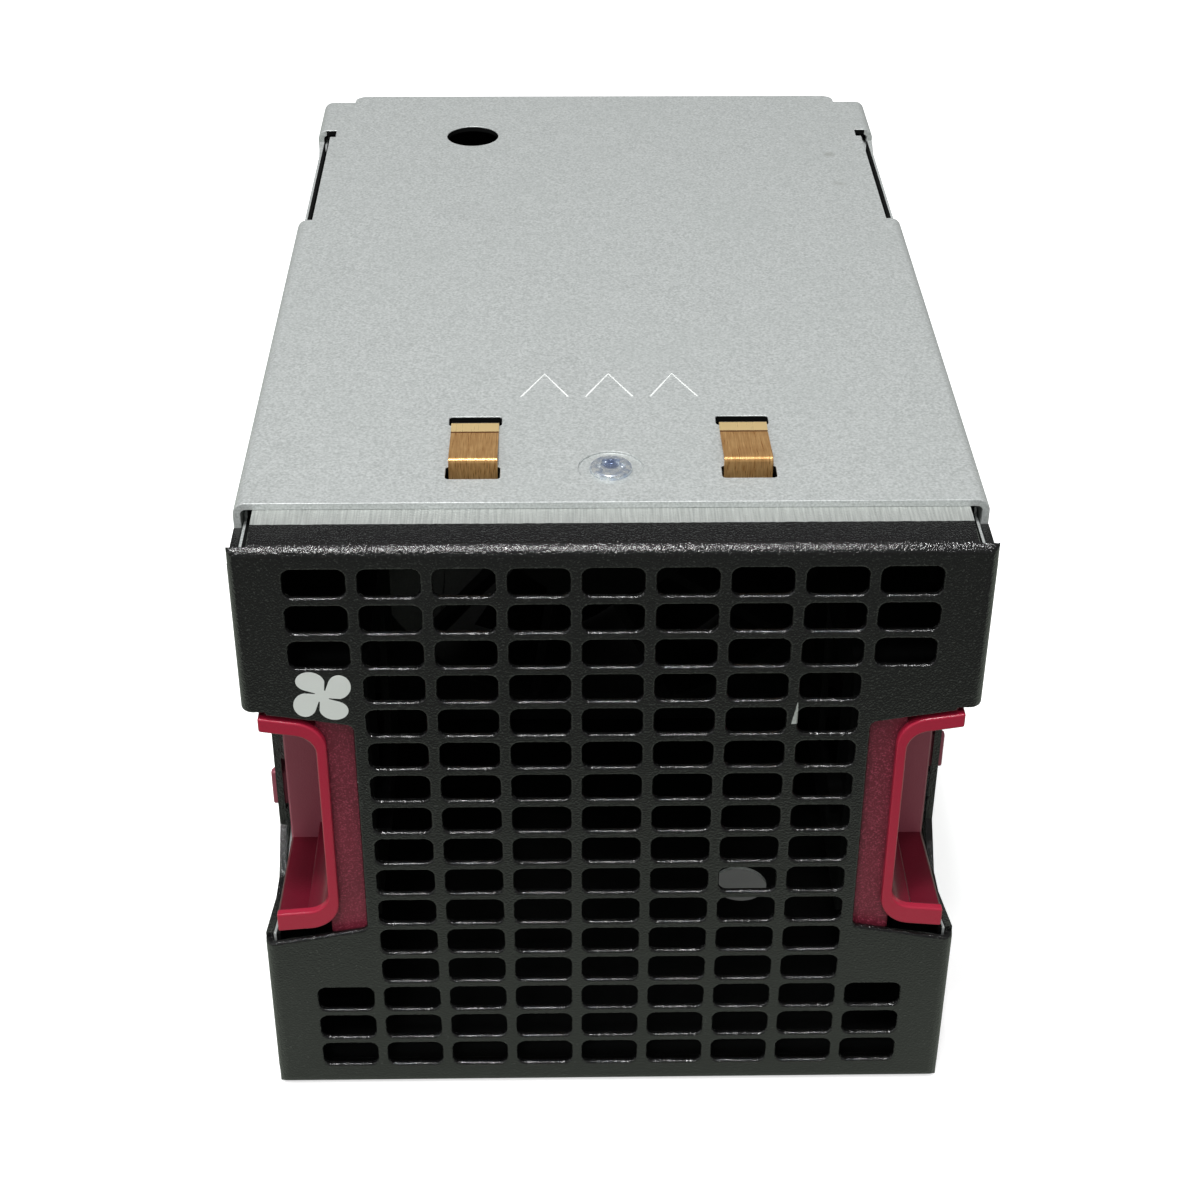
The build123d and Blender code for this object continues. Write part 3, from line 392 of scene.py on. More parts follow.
def near_line(tree, low, high, width):
    """1 on a tapered stroke from low up to high in the XZ plane, and 0 off it."""
    place = split_place(tree)
    along = spread(tree, place["Z"], low.z, high.z)
    middle = spread(tree, place["Z"], low.z, high.z, low.x, high.x)
    frayed = maths(tree, "MULTIPLY", grain(tree, FRAY_SIZE), FRAY_SHARE * width)
    aside = maths(tree, "ABSOLUTE", maths(tree, "SUBTRACT", place["X"], middle))
    aside = maths(tree, "ADD", aside, frayed)
    half = maths(tree, "MULTIPLY", maths(tree, "SUBTRACT", CHIP_TAPER, along), width)
    inside = maths(tree, "LESS_THAN", aside, half)
    above = maths(tree, "GREATER_THAN", place["Z"], low.z)
    below = maths(tree, "LESS_THAN", place["Z"], high.z)
    ends = maths(tree, "MULTIPLY", above, below)
    outside_face = maths(tree, "LESS_THAN", place["Y"], front + FACE_DEPTH)
    return maths(tree, "MULTIPLY", maths(tree, "MULTIPLY", inside, ends), outside_face)


def case_shade_mask(tree):
    """1 on the inner faces of the case and in the cover's slots, where shade is painted, and 0 outside it.
    """
    place = split_place(tree)
    aside = maths(tree, "ABSOLUTE", place["X"])
    between = maths(tree, "LESS_THAN", aside, half_width - CASE_LAYERS)
    above = maths(tree, "GREATER_THAN", place["Z"], CASE_SHEET)
    before = maths(tree, "LESS_THAN", place["Y"], panel_rear - CASE_SHEET)
    behind = maths(tree, "GREATER_THAN", place["Y"], front + COVER_START)
    beside = maths(tree, "GREATER_THAN", aside, SCREW_ROOM)
    in_slot = maths(tree, "MULTIPLY", behind, beside)
    limit = spread(tree, in_slot, 0.0, 1.0, case_top - COVER_SHEET, case_top - COVER_SKIN)
    below = maths(tree, "LESS_THAN", place["Z"], limit)
    upright = maths(tree, "MULTIPLY", above, below)
    return maths(tree, "MULTIPLY", maths(tree, "MULTIPLY", between, before), upright)


# Finishes
def black_coat():
    """Fine-textured black powder coat, bare on a strip of the top flange and where it is chipped."""
    finish, tree, surface = new_finish("black_coat")
    place = split_place(tree)
    pebbles = grain(tree, PEBBLE_SIZE, detail=2.0)
    fine = grain(tree, COAT_FINE_SIZE, detail=1.0)
    cloud = grain(tree, COAT_CLOUD_SIZE)
    shade = blend_colors(tree, spread(tree, cloud, 0.3, 0.7), COAT_DARK, COAT_LIGHT)
    shade = blend_colors(tree, spread(tree, pebbles, 0.58, 0.80), shade, COAT_PEBBLE)
    edge = maths(tree, "MULTIPLY", grain(tree, STRIP_EDGE_SIZE), STRIP_EDGE_WANDER)
    behind = maths(tree, "GREATER_THAN", maths(tree, "ADD", place["Y"], edge), BARE_STRIP_START)
    above = maths(tree, "GREATER_THAN", place["Z"], BARE_STRIP_LOW)
    bare = maths(tree, "MULTIPLY", behind, above)
    bare = maths(tree, "MAXIMUM", bare, near_line(tree, CHIP_LOW, CHIP_HIGH, CHIP_WIDTH))
    nick = near_spot(tree, NICK + Vector((0, front, 0)), NICK_RADIUS)
    bare = maths(tree, "MAXIMUM", bare, maths(tree, "GREATER_THAN", nick, 0.4))
    streaks = grain(tree, STREAK_SIZE, stretch=(1, 0.04, 0.3), detail=3.0)
    metal = blend_colors(tree, spread(tree, streaks, 0.3, 0.7), BARE_DARK, BARE_LIGHT)
    rough = spread(tree, fine, 0.3, 0.7, 0.10, 0.22)
    coat = bumpy(tree, pebbles, PEBBLE_RELIEF)
    relief = bumpy(tree, maths(tree, "MULTIPLY", bare, -1.0), COAT_THICKNESS, coat)
    wire(
        tree,
        surface,
        Base_Color=blend_colors(tree, bare, shade, metal),
        Roughness=spread(tree, bare, 0.0, 1.0, rough, 0.42),
        Metallic=maths(tree, "MULTIPLY", bare, 0.4),
        Normal=relief,
        Specular_IOR_Level=0.80,
    )
    return finish


def zinc_sheet():
    """Zinc-coated sheet: pale grey and satin, with a fine speckle, streaks and stains, and near black inside
    as painted shade.
    """
    finish, tree, surface = new_finish("zinc_sheet")
    speckle = grain(tree, SPECKLE_SIZE, detail=3.0)
    rolled = grain(tree, ROLLED_SIZE, stretch=(0.06, 1, 1), detail=2.0)
    # Painted shade: the inner faces of the case are near black and dull, in place of bare sheet in shade
    inside = case_shade_mask(tree)
    cloud = grain(tree, ZINC_CLOUD_SIZE, detail=3.0)
    tone = blend_colors(tree, spread(tree, speckle, 0.3, 0.7), ZINC_DARK, ZINC_LIGHT)
    tone = blend_colors(tree, spread(tree, rolled, 0.35, 0.75, 0.0, 0.30), tone, ZINC_ROLLED)
    tone = blend_colors(tree, spread(tree, cloud, 0.45, 0.75, 0.0, 0.30), tone, ZINC_CLOUD)
    rough = spread(tree, cloud, 0.3, 0.7, 0.40, 0.54)
    for stain in STAINS:
        dull = maths(tree, "MULTIPLY", near_spot(tree, stain, STAIN_RADIUS, 0.9), 0.45)
        tone = blend_colors(tree, dull, tone, ZINC_STAIN)
    wire(
        tree,
        surface,
        Base_Color=blend_colors(tree, inside, tone, ZINC_PAINTED_SHADE),
        Metallic=spread(tree, inside, 0.0, 1.0, 0.4, 0.0),
        Roughness=spread(tree, inside, 0.0, 1.0, rough, 0.65),
        Specular_IOR_Level=spread(tree, inside, 0.0, 1.0, 0.5, 0.1),
        Normal=bumpy(tree, speckle, SPECKLE_RELIEF),
    )
    return finish


def bronze_strip():
    """Rolled copper alloy with fine lines along the strip, and painted light: a lighter band behind the
    crease, a dark crease and a dark end in the slot.
    """
    finish, tree, surface = new_finish("bronze_strip")
    lines = grain(tree, BRONZE_LINE_SIZE, stretch=(1, 0.03, 0.1), detail=3.0)
    cloud = grain(tree, BRONZE_CLOUD_SIZE)
    tone = blend_colors(tree, spread(tree, lines, 0.3, 0.7), BRONZE_DARK, BRONZE_LIGHT)
    tone = blend_colors(tree, spread(tree, cloud, 0.4, 0.8, 0.0, 0.5), tone, BRONZE_CLOUD)
    depth = split_place(tree)["Y"]
    # Painted highlight on the band behind the crease, painted shade in the crease and on the end in the slot
    tone = blend_colors(tree, maths(tree, "GREATER_THAN", depth, CREASE), tone, BRONZE_BAND_HIGHLIGHT)
    off_crease = maths(tree, "ABSOLUTE", maths(tree, "SUBTRACT", depth, CREASE))
    tone = blend_colors(tree, maths(tree, "LESS_THAN", off_crease, CREASE_WIDTH), tone, BRONZE_CREASE_SHADE)
    tone = blend_colors(tree, maths(tree, "GREATER_THAN", depth, CLIP_REAR), tone, BRONZE_SHADED)
    wire(
        tree,
        surface,
        Base_Color=tone,
        Metallic=0.6,
        Roughness=spread(tree, lines, 0.3, 0.7, 0.26, 0.38),
        Normal=bumpy(tree, lines, BRONZE_RELIEF),
    )
    return finish


def plated_steel():
    """Bright zinc plating, faintly blue, on screws, pins, rivets and springs, darker in the cover screw's
    star socket as painted shade.
    """
    finish, tree, surface = new_finish("plated_steel")
    cloud = grain(tree, PLATING_CLOUD_SIZE, detail=3.0)
    tone = blend_colors(tree, spread(tree, cloud, 0.35, 0.65), PLATING_DARK, PLATING_LIGHT)
    # Painted shade: darker plating in the cover screw's star socket
    socket = spread(tree, near_spot(tree, SCREW_SOCKET, SOCKET_RADIUS), 0.1, 0.6)
    tone = blend_colors(tree, socket, tone, PLATING_SOCKET_SHADE)
    wire(
        tree,
        surface,
        Base_Color=tone,
        Metallic=0.7,
        Roughness=spread(tree, cloud, 0.3, 0.7, 0.18, 0.32),
        Normal=bumpy(tree, cloud, METAL_RELIEF),
    )
    return finish


def wine_grip():
    """Moulded wine-red plastic: textured and dull on the flange, smooth and deep on the rim; the lighter rim
    is a painted highlight, and the lighter wall and lever behind the pocket are painted light.
    """
    finish, tree, surface = new_finish("wine_grip")
    texture = grain(tree, WINE_GRAIN, detail=2.0)
    cloud = grain(tree, WINE_CLOUD_SIZE)
    flange = blend_colors(tree, spread(tree, cloud, 0.3, 0.7), WINE_DARK, WINE_LIGHT)
    flange = blend_colors(tree, spread(tree, texture, 0.50, 0.72), flange, WINE_SPOT)
    place = split_place(tree)
    rim = spread(tree, place["Y"], front + RIM_DEPTH + RIM_BLEND, front + RIM_DEPTH - RIM_BLEND)
    before_wall = maths(tree, "LESS_THAN", place["Y"], front + POCKET_DEPTH)
    aside = maths(tree, "GREATER_THAN", maths(tree, "ABSOLUTE", place["X"]), POCKET_INNER)
    pocket = maths(tree, "MULTIPLY", before_wall, aside)
    smooth = maths(tree, "MAXIMUM", rim, pocket)
    # Painted light behind the pocket and a painted highlight on the rim; the pocket floor gets a deeper red
    tone = blend_colors(tree, before_wall, WINE_LEVER_LIGHT, flange)
    tone = blend_colors(tree, pocket, tone, WINE_POCKET)
    tone = blend_colors(tree, rim, tone, WINE_RIM_HIGHLIGHT)
    rough = spread(tree, texture, 0.3, 0.7, 0.40, 0.55)
    wire(
        tree,
        surface,
        Base_Color=tone,
        Roughness=spread(tree, smooth, 0.0, 1.0, rough, 0.28),
        Normal=bumpy(tree, texture, WINE_RELIEF),
    )
    return finish


def moulded(name, dark, light, low, high, shine=0.5):
    """Moulded plastic between two tones, with a fine mould texture."""
    finish, tree, surface = new_finish(name)
    texture = grain(tree, MOULD_GRAIN, detail=2.0)
    cloud = grain(tree, MOULD_CLOUD_SIZE)
    wire(
        tree,
        surface,
        Base_Color=blend_colors(tree, spread(tree, cloud, 0.3, 0.7), dark, light),
        Roughness=spread(tree, texture, 0.3, 0.7, low, high),
        Normal=bumpy(tree, texture, MOULD_RELIEF),
        Specular_IOR_Level=shine,
    )
    return finish


def turned(name, dark, light, low, high):
    """Machined or drawn metal between two tones, with fine marks."""
    finish, tree, surface = new_finish(name)
    marks = grain(tree, MARK_SIZE, stretch=(1, 0.15, 1), detail=3.0)
    wire(
        tree,
        surface,
        Base_Color=blend_colors(tree, spread(tree, marks, 0.3, 0.7), dark, light),
        Metallic=1.0,
        Roughness=spread(tree, marks, 0.3, 0.7, low, high),
        Normal=bumpy(tree, marks, METAL_RELIEF),
    )
    return finish


finishes = {
    "black_steel": black_coat(),
    "zinc_steel": zinc_sheet(),
    "copper_alloy": bronze_strip(),
    "bright_steel": plated_steel(),
    "wine_plastic": wine_grip(),
    "black_plastic": moulded("glass_filled_black", rgb(9, 9, 10), rgb(14, 14, 15), 0.50, 0.65, shine=0.25),
    "motor_steel": turned("machined_steel", rgb(150, 152, 154), rgb(186, 187, 188), 0.24, 0.38),
    "ferrite": moulded("sintered_magnet", rgb(44, 43, 44), rgb(62, 60, 60), 0.55, 0.75),
    "brass": turned("turned_brass", rgb(190, 150, 84), rgb(214, 178, 110), 0.22, 0.34),
    "copper_wire": turned("enamelled_wire", rgb(158, 84, 44), rgb(190, 108, 62), 0.25, 0.40),
    "white_plastic": moulded("white_nylon", rgb(206, 204, 194), rgb(222, 220, 212), 0.40, 0.55),
    "board_green": moulded("solder_mask", rgb(16, 74, 44), rgb(24, 92, 56), 0.28, 0.40),
    "capacitor": turned("capacitor_can", rgb(168, 170, 174), rgb(200, 202, 206), 0.25, 0.40),
}
ink = moulded("pad_printed_ink", rgb(208, 213, 208), rgb(222, 226, 222), 0.50, 0.62)
# Painted highlight: a near-white zinc for the pressed arrows, in place of the shine on their pressed edges
painted_highlight = moulded("painted_highlight_zinc", rgb(222, 226, 224), rgb(244, 246, 244), 0.25, 0.35)

slot_of = {row["node"]: row["material_slot"] for row in frame["record"]["subparts"]}
body_of = {node: piece["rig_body"] for node, piece in frame["nodes"].items()}
for node, piece in frame["nodes"].items():
    piece.data.materials.clear()
    piece.data.materials.append(finishes[slot_of[node]])


# Pieces
def place_piece(mesh, name, node, stands_for=True):
    """Puts a finished mesh in the scene, on the body of a CAD node, and hides the node when the mesh stands
    for it.
    """
    piece = bpy.data.objects.new(name, mesh)
    bpy.context.scene.collection.objects.link(piece)
    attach(piece, body_of[node])
    if stands_for:
        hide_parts(node)
    return piece


def rounded_copy(node, name, radius, segments=2, loops_only=False, outward_only=False):
    """A welded copy of a CAD piece with rounded edges, which stands for it.

    With loops_only, edges that meet three at a corner stay sharp, save on the front face; with
    outward_only, hollow ones do.
    """
    mesh = frame["nodes"][node].data.copy()
    mesh.name = name
    welded = bmesh.new()
    welded.from_mesh(mesh)
    bmesh.ops.remove_doubles(welded, verts=welded.verts, dist=WELD)
    bmesh.ops.dissolve_limit(welded, angle_limit=FLAT_ANGLE, verts=welded.verts, edges=welded.edges)
    weight = welded.edges.layers.float.new("bevel_weight_edge")
    sharp = [e for e in welded.edges if e.is_manifold and e.calc_face_angle() > SHARP_ANGLE]
    if outward_only:
        sharp = [edge for edge in sharp if edge.is_convex]
    meeting = Counter(vertex for edge in sharp for vertex in edge.verts)
    for edge in sharp:
        in_loop = all(meeting[vertex] == 2 for vertex in edge.verts)
        on_face = all(vertex.co.y < front + FACE_BAND for vertex in edge.verts)
        edge[weight] = float(in_loop or on_face or not loops_only)
    welded.to_mesh(mesh)
    welded.free()
    for leftover in ("custom_normal", "sharp_edge", "sharp_face"):
        if leftover in mesh.attributes:
            mesh.attributes.remove(mesh.attributes[leftover])
    mesh.shade_smooth()
    mesh.set_sharp_from_angle(angle=SHARP_ANGLE)
    piece = place_piece(mesh, name, node)
    if radius:
        bevel = piece.modifiers.new("rounded_edges", "BEVEL")
        bevel.width = radius
        bevel.segments = segments
        bevel.limit_method = "WEIGHT"
        bevel.use_clamp_overlap = False
        bevel.loop_slide = not loops_only
        bevel.harden_normals = True
    return piece


rounded_pieces = (
    ("top_cover", "cover_sheet", SHEET_ROUND),
    ("case_tray", "tray_sheet", SHEET_ROUND),
    ("rear_panel", "rear_panel_sheet", SHEET_ROUND),
    ("inlet_duct", "inlet_duct_moulding", MOULDED_ROUND),
    ("impeller", "impeller_moulding", 0),
    ("power_connector", "connector_moulding", MOULDED_ROUND / 2),
    ("rotor_cup", "rotor_cup_drawn", SHEET_ROUND),
    ("cover_screw", "cover_screw_plated", STRIP_ROUND),
    ("cover_nut", "cover_nut_plated", SHEET_ROUND),
    ("fan_screws", "fan_screws_plated", SHEET_ROUND),
    ("left_latch_pin", "left_pin_plated", SHEET_ROUND),
    ("right_latch_pin", "right_pin_plated", SHEET_ROUND),
    ("grounding_clip_left", "left_clip_strip", STRIP_ROUND),
    ("grounding_clip_right", "right_clip_strip", STRIP_ROUND),
)
for node, name, radius in rounded_pieces:
    rounded_copy(node, name, radius)
for node, name in (("left_latch", "left_latch_moulding"), ("right_latch", "right_latch_moulding")):
    rounded_copy(node, name, GRIP_ROUND, segments=3, outward_only=True)
rounded_copy("front_bezel", "bezel_coated", COAT_ROUND, segments=3, loops_only=True)
rounded_copy("fan_housing", "fan_housing_moulding", MOULDED_ROUND, loops_only=True)
rounded_copy("left_latch_bracket", "left_bracket_sheet", SHEET_ROUND, loops_only=True)
rounded_copy("right_latch_bracket", "right_bracket_sheet", SHEET_ROUND, loops_only=True)


# Latch springs: a welded copy of each, with a mesh of its own
def latch_spring(side):
    """The spring of one latch, as a welded copy with a mesh of its own."""
    node = side + "_latch_spring"
    spring = rounded_copy(node, side + "_spring_wire", 0)
    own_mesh(spring)


for side in ("left", "right"):
    latch_spring(side)


# Sign and arrows
def lobe_reach(angle):
    """How far the sign reaches this far round from the middle of a round lobe, as a share of its radius."""
    aside = LOBE_PLACE_SHARE * sin(angle)
    if abs(aside) >= LOBE_ROUND_SHARE:
        return SIGN_HUB_SHARE
    return LOBE_PLACE_SHARE * cos(angle) + sqrt(LOBE_ROUND_SHARE**2 - aside**2)


def fan_sign():
    """A printed fan: four lobes round a hub, with curved gaps between them."""
    drawn = bmesh.new()
    rim = []
    for step in range(SIGN_STEPS):
        angle = 2 * pi * step / SIGN_STEPS
        share = lobe_reach((angle + pi / SIGN_LOBES) % (2 * pi / SIGN_LOBES) - pi / SIGN_LOBES)
        turned_angle = angle + SIGN_TURN + SIGN_TWIST * share
        out = Vector((cos(turned_angle), 0, sin(turned_angle))) * SIGN_RADIUS * share
        rim.append(drawn.verts.new(SIGN_CENTRE + Vector((0, front, 0)) + out))
    face = drawn.faces.new(rim)
    inked = bmesh.ops.extrude_face_region(drawn, geom=[face])["geom"]
    raised = [part for part in inked if isinstance(part, bmesh.types.BMVert)]
    bmesh.ops.translate(drawn, verts=raised, vec=(0, -SIGN_INK, 0))
    bmesh.ops.recalc_face_normals(drawn, faces=drawn.faces)
    bmesh.ops.triangulate(drawn, faces=drawn.faces)
    mesh = bpy.data.meshes.new("fan_sign")
    drawn.to_mesh(mesh)
    drawn.free()
    mesh.materials.append(ink)
    return place_piece(mesh, "fan_sign", "front_bezel", stands_for=False)


def group_of_nodes(name, inputs):
    """An empty geometry tree with a geometry input and these named number inputs."""
    tree = bpy.data.node_groups.new(name, "GeometryNodeTree")
    tree.interface.new_socket("Geometry", in_out="INPUT", socket_type="NodeSocketGeometry")
    for label, default in inputs.items():
        kind = "NodeSocketInt" if isinstance(default, int) else "NodeSocketFloat"
        socket = tree.interface.new_socket(label, in_out="INPUT", socket_type=kind)
        socket.default_value = default
    tree.interface.new_socket("Geometry", in_out="OUTPUT", socket_type="NodeSocketGeometry")
    return tree, add(tree, "NodeGroupInput").outputs


def close_tree(tree, geometry, finish):
    """Ends a geometry tree in whole geometry with its finish."""
    whole = add(tree, "GeometryNodeRealizeInstances", {"Geometry": geometry}).outputs[0]
    coated = add(tree, "GeometryNodeSetMaterial", {"Geometry": whole, "Material": finish}).outputs[0]
    add(tree, "NodeGroupOutput", {0: coated})


def grown(mesh, tree, name, sizes):
    """The plain mesh that a geometry tree grows from a mesh, with its inputs set to these sizes."""
    seed = bpy.data.objects.new(name + "_seed", mesh)
    bpy.context.scene.collection.objects.link(seed)
    grow = seed.modifiers.new("grow", "NODES")
    grow.node_group = tree
    for socket in tree.interface.items_tree:
        if socket.in_out == "INPUT" and socket.name in sizes:
            grow[socket.identifier] = sizes[socket.name]
    ready = seed.evaluated_get(bpy.context.evaluated_depsgraph_get())
    result = bpy.data.meshes.new_from_object(ready)
    result.name = name
    bpy.data.objects.remove(seed)
    return result


def row_of_strokes(finish):
    """Tree: a line drawn as a round stroke, and repeated along X."""
    sizes = {"Count": ARROW_COUNT, "Pitch": ARROW_PITCH, "Stroke": ARROW_STROKE}
    tree, given = group_of_nodes("row_of_strokes", sizes)
    line = add(tree, "GeometryNodeMeshToCurve", {"Mesh": given["Geometry"]}).outputs[0]
    section_inputs = {"Resolution": STROKE_SIDES, "Radius": given["Stroke"]}
    round_section = add(tree, "GeometryNodeCurvePrimitiveCircle", section_inputs)
    stroke = add(
        tree,
        "GeometryNodeCurveToMesh",
        {"Curve": line, "Profile Curve": round_section.outputs[0], "Fill Caps": True},
    )
    step = add(tree, "ShaderNodeCombineXYZ", {"X": given["Pitch"]}).outputs[0]
    row = add(tree, "GeometryNodeMeshLine", {"Count": given["Count"], "Offset": step})
    repeated = add(
        tree,
        "GeometryNodeInstanceOnPoints",
        {"Points": row.outputs[0], "Instance": stroke.outputs[0]},
    )
    close_tree(tree, repeated.outputs[0], finish)
    return tree


def pressed_arrows():
    """Three arrow heads pressed into the cover, which point to the rear, in a near-white tone as painted
    highlight.
    """
    start = ARROW_MIDDLE - Vector(((ARROW_COUNT - 1) * ARROW_PITCH / 2, 0, ARROW_SUNK_SHARE * ARROW_STROKE))
    tip = start + Vector((0, ARROW_HALF_LENGTH, 0))
    tails = [start + Vector((x * ARROW_HALF_WIDTH, -ARROW_HALF_LENGTH, 0)) for x in (-1, 1)]
    line = bpy.data.meshes.new("arrow_line")
    line.from_pydata([tails[0], tip, tails[1]], [(0, 1), (1, 2)], [])
    sizes = {"Count": ARROW_COUNT, "Pitch": ARROW_PITCH, "Stroke": ARROW_STROKE}
    mesh = grown(line, row_of_strokes(painted_highlight), "pressed_arrows", sizes)
    return place_piece(mesh, "pressed_arrows", "top_cover", stands_for=False)


fan_sign()
pressed_arrows()


# Rivets: one on each side, high and low
def turned_shape(profile):
    """A solid of revolution about X, from (x, radius) pairs that start and end on the axis."""
    spun = bmesh.new()
    verts = [spun.verts.new((x, radius, 0)) for x, radius in profile]
    edges = [spun.edges.new(pair) for pair in zip(verts, verts[1:])]
    bmesh.ops.spin(
        spun, geom=verts + edges, axis=(1, 0, 0), cent=(0, 0, 0), angle=2 * pi, steps=RIVET_SIDES
    )
    bmesh.ops.remove_doubles(spun, verts=spun.verts, dist=WELD)
    bmesh.ops.recalc_face_normals(spun, faces=spun.faces)
    mesh = bpy.data.meshes.new("turned_shape")
    spun.to_mesh(mesh)
    spun.free()
    mesh.shade_smooth()
    mesh.set_sharp_from_angle(angle=SHARP_ANGLE)
    return mesh


def four_about_middle(finish):
    """Tree: a piece made for the right side at two heights, and turned round for the left side."""
    sizes = {"Reach": 0.0, "Rise": 0.0, "Depth": 0.0, "Middle": 0.0}
    tree, given = group_of_nodes("four_about_middle", sizes)
    across = maths(tree, "MULTIPLY", given["Reach"], 2.0)
    grid = add(
        tree,
        "GeometryNodeMeshGrid",
        {"Size X": across, "Size Y": given["Rise"], "Vertices X": 2, "Vertices Y": 2},
    )
    centre = add(tree, "ShaderNodeCombineXYZ", {"Y": given["Depth"], "Z": given["Middle"]}).outputs[0]
    upright = add(
        tree,
        "GeometryNodeTransform",
        {"Geometry": grid.outputs[0], "Translation": centre, "Rotation": (pi / 2, 0, 0)},
    )
    place = add(tree, "GeometryNodeInputPosition").outputs[0]
    side = add(tree, "ShaderNodeSeparateXYZ", {0: place}).outputs["X"]
    at_left = maths(tree, "LESS_THAN", side, 0.0)
    turn = add(tree, "ShaderNodeCombineXYZ", {"Z": maths(tree, "MULTIPLY", at_left, pi)}).outputs[0]
    repeated = add(
        tree,
        "GeometryNodeInstanceOnPoints",
        {"Points": upright.outputs[0], "Instance": given["Geometry"], "Rotation": turn},
    )
    close_tree(tree, repeated.outputs[0], finish)
    return tree


def rivets(node, name, grip, tree):
    """Domed rivets in place of the plain ones of a node: a dimpled head outside, a formed one inside."""
    low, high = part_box(node)
    radius = (high.y - low.y) / 2
    shank = RIVET_SHANK_SHARE * radius
    head = RIVET_HEAD_SHARE * radius
    inside = -grip - head
    profile = [(head - down * head, out * radius) for down, out in OUTER_HEAD_SHARES]
    profile += [(0, shank), (inside + head, shank)]
    profile += [(inside + up * head, out * radius) for up, out in INNER_HEAD_SHARES]
    sizes = {
        "Reach": high.x - head,
        "Rise": high.z - low.z - 2 * radius,
        "Depth": (low.y + high.y) / 2,
        "Middle": (low.z + high.z) / 2,
    }
    mesh = grown(turned_shape(profile), tree, name, sizes)
    return place_piece(mesh, name, node)


rivet_tree = four_about_middle(finishes["bright_steel"])
for node, (name, grip) in RIVET_ROWS.items():
    rivets(node, name, grip, rivet_tree)


# Floor, light and camera
def flat_stage(name, size, height, finish):
    """A square of floor."""
    mesh = bpy.data.meshes.new(name)
    corners = [(x * size, y * size, height) for x, y in ((-1, -1), (1, -1), (1, 1), (-1, 1))]
    mesh.from_pydata(corners, [], [(0, 1, 2, 3)])
    mesh.materials.append(finish)
    sheet = bpy.data.objects.new(name, mesh)
    bpy.context.scene.collection.objects.link(sheet)
    return sheet


def white_paper():
    """A matt ground: white to the camera apart from the shadow and a painted shadow under the case, and
    darker, as painted shade, to the light and in mirror images.
    """
    finish, tree, surface = new_finish("white_paper")
    paths = add(tree, "ShaderNodeLightPath").outputs
    place = split_place(tree)
    lit = spread(tree, place["Y"], DIM_FLOOR_FAR, DIM_FLOOR_NEAR)
    dim = blend_colors(tree, lit, PAPER_DIM, PAPER_LIT)
    # Painted shadow under the case: grey to the camera, and hardly glowing
    under = maths(tree, "LESS_THAN", maths(tree, "ABSOLUTE", place["X"]), half_width - CASE_LAYERS)
    behind = maths(tree, "GREATER_THAN", place["Y"], front + CASE_LAYERS)
    before = maths(tree, "LESS_THAN", place["Y"], rear - CASE_LAYERS)
    under = maths(tree, "MULTIPLY", under, maths(tree, "MULTIPLY", behind, before))
    plain = blend_colors(tree, under, PAPER_SEEN, PAPER_SHADOW_UNDER_CASE)
    tone = blend_colors(tree, paths["Is Camera Ray"], dim, plain)
    wire(tree, surface, Base_Color=tone, Roughness=0.9, Specular_IOR_Level=0.0)
    strength = spread(tree, under, 0.0, 1.0, FLOOR_GLOW, GLOW_IN_SHADOW_UNDER_CASE)
    glow = add(tree, "ShaderNodeEmission", {"Color": (1, 1, 1, 1), "Strength": strength})
    both = add(tree, "ShaderNodeAddShader", {0: surface.outputs[0], 1: glow.outputs[0]})
    seen = add(
        tree,
        "ShaderNodeMixShader",
        {0: paths["Is Camera Ray"], 1: surface.outputs[0], 2: both.outputs[0]},
    )
    ends = next(node for node in tree.nodes if node.type == "OUTPUT_MATERIAL")
    tree.links.new(seen.outputs[0], ends.inputs["Surface"])
    return finish


flat_stage("floor", FLOOR_HALF_SIZE, -FLOOR_DROP, white_paper())


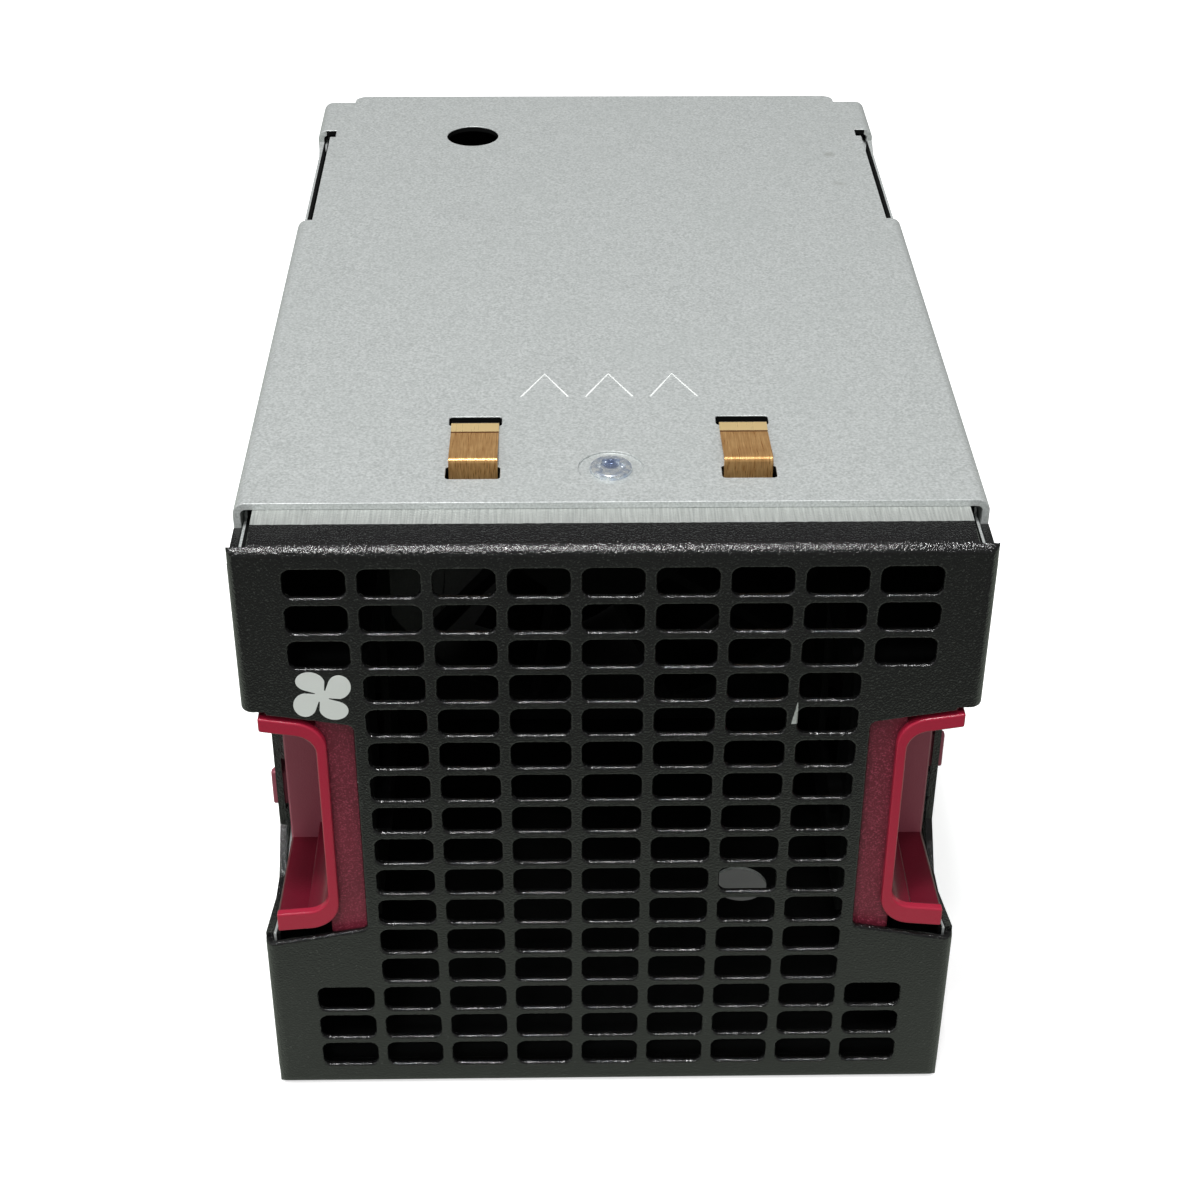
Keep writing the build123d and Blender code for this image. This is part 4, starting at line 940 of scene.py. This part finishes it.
def soft_lamp(name, place, aim, size, power):
    """A square soft box that faces the aim."""
    light = bpy.data.lights.new(name, "AREA")
    light.shape = "SQUARE"
    light.size = size
    light.energy = power
    lamp = bpy.data.objects.new(name, light)
    bpy.context.scene.collection.objects.link(lamp)
    lamp.location = place
    lamp.rotation_euler = (Vector(aim) - Vector(place)).to_track_quat("-Z", "Y").to_euler()
    return lamp


object_centre = (cad_box[0] + cad_box[1]) / 2
for name, place, size, power in LAMPS:
    soft_lamp(name, place, object_centre, size, power)

world = bpy.data.worlds.new("pale_studio")
world.use_nodes = True
bpy.context.scene.world = world
sky = world.node_tree
sky.nodes.clear()
paths = add(sky, "ShaderNodeLightPath").outputs
direction = add(sky, "ShaderNodeTexCoord").outputs["Generated"]
rearward = add(sky, "ShaderNodeSeparateXYZ", {0: direction}).outputs["Y"]
lighting = spread(sky, rearward, ROOM_TURN_FRONT, ROOM_TURN_BACK, ROOM_FRONT, ROOM_BACK)
mirrored = spread(sky, rearward, ROOM_TURN_FRONT, ROOM_TURN_BACK, MIRRORED_FRONT, MIRRORED_BACK)
lighting = spread(sky, paths["Is Glossy Ray"], 0.0, 1.0, lighting, mirrored)
seen = maths(sky, "MAXIMUM", paths["Is Camera Ray"], paths["Is Transmission Ray"])
glow = spread(sky, seen, 0.0, 1.0, lighting, 1.0)
backdrop = add(sky, "ShaderNodeBackground", {"Color": (1, 1, 1, 1), "Strength": glow})
add(sky, "ShaderNodeOutputWorld", {"Surface": backdrop.outputs[0]})

camera_data = bpy.data.cameras.new("camera")
camera_data.lens = CAMERA_LENS
camera_data.sensor_width = CAMERA_SENSOR
camera_data.clip_start = CAMERA_NEAR
camera = bpy.data.objects.new("camera", camera_data)
bpy.context.scene.collection.objects.link(camera)
camera.location = CAMERA_PLACE
camera.rotation_mode = "ZYX"
camera.rotation_euler = (CAMERA_TILT, CAMERA_YAW, CAMERA_ROLL)
bpy.context.scene.camera = camera
bpy.context.scene.view_settings.view_transform = "Standard"
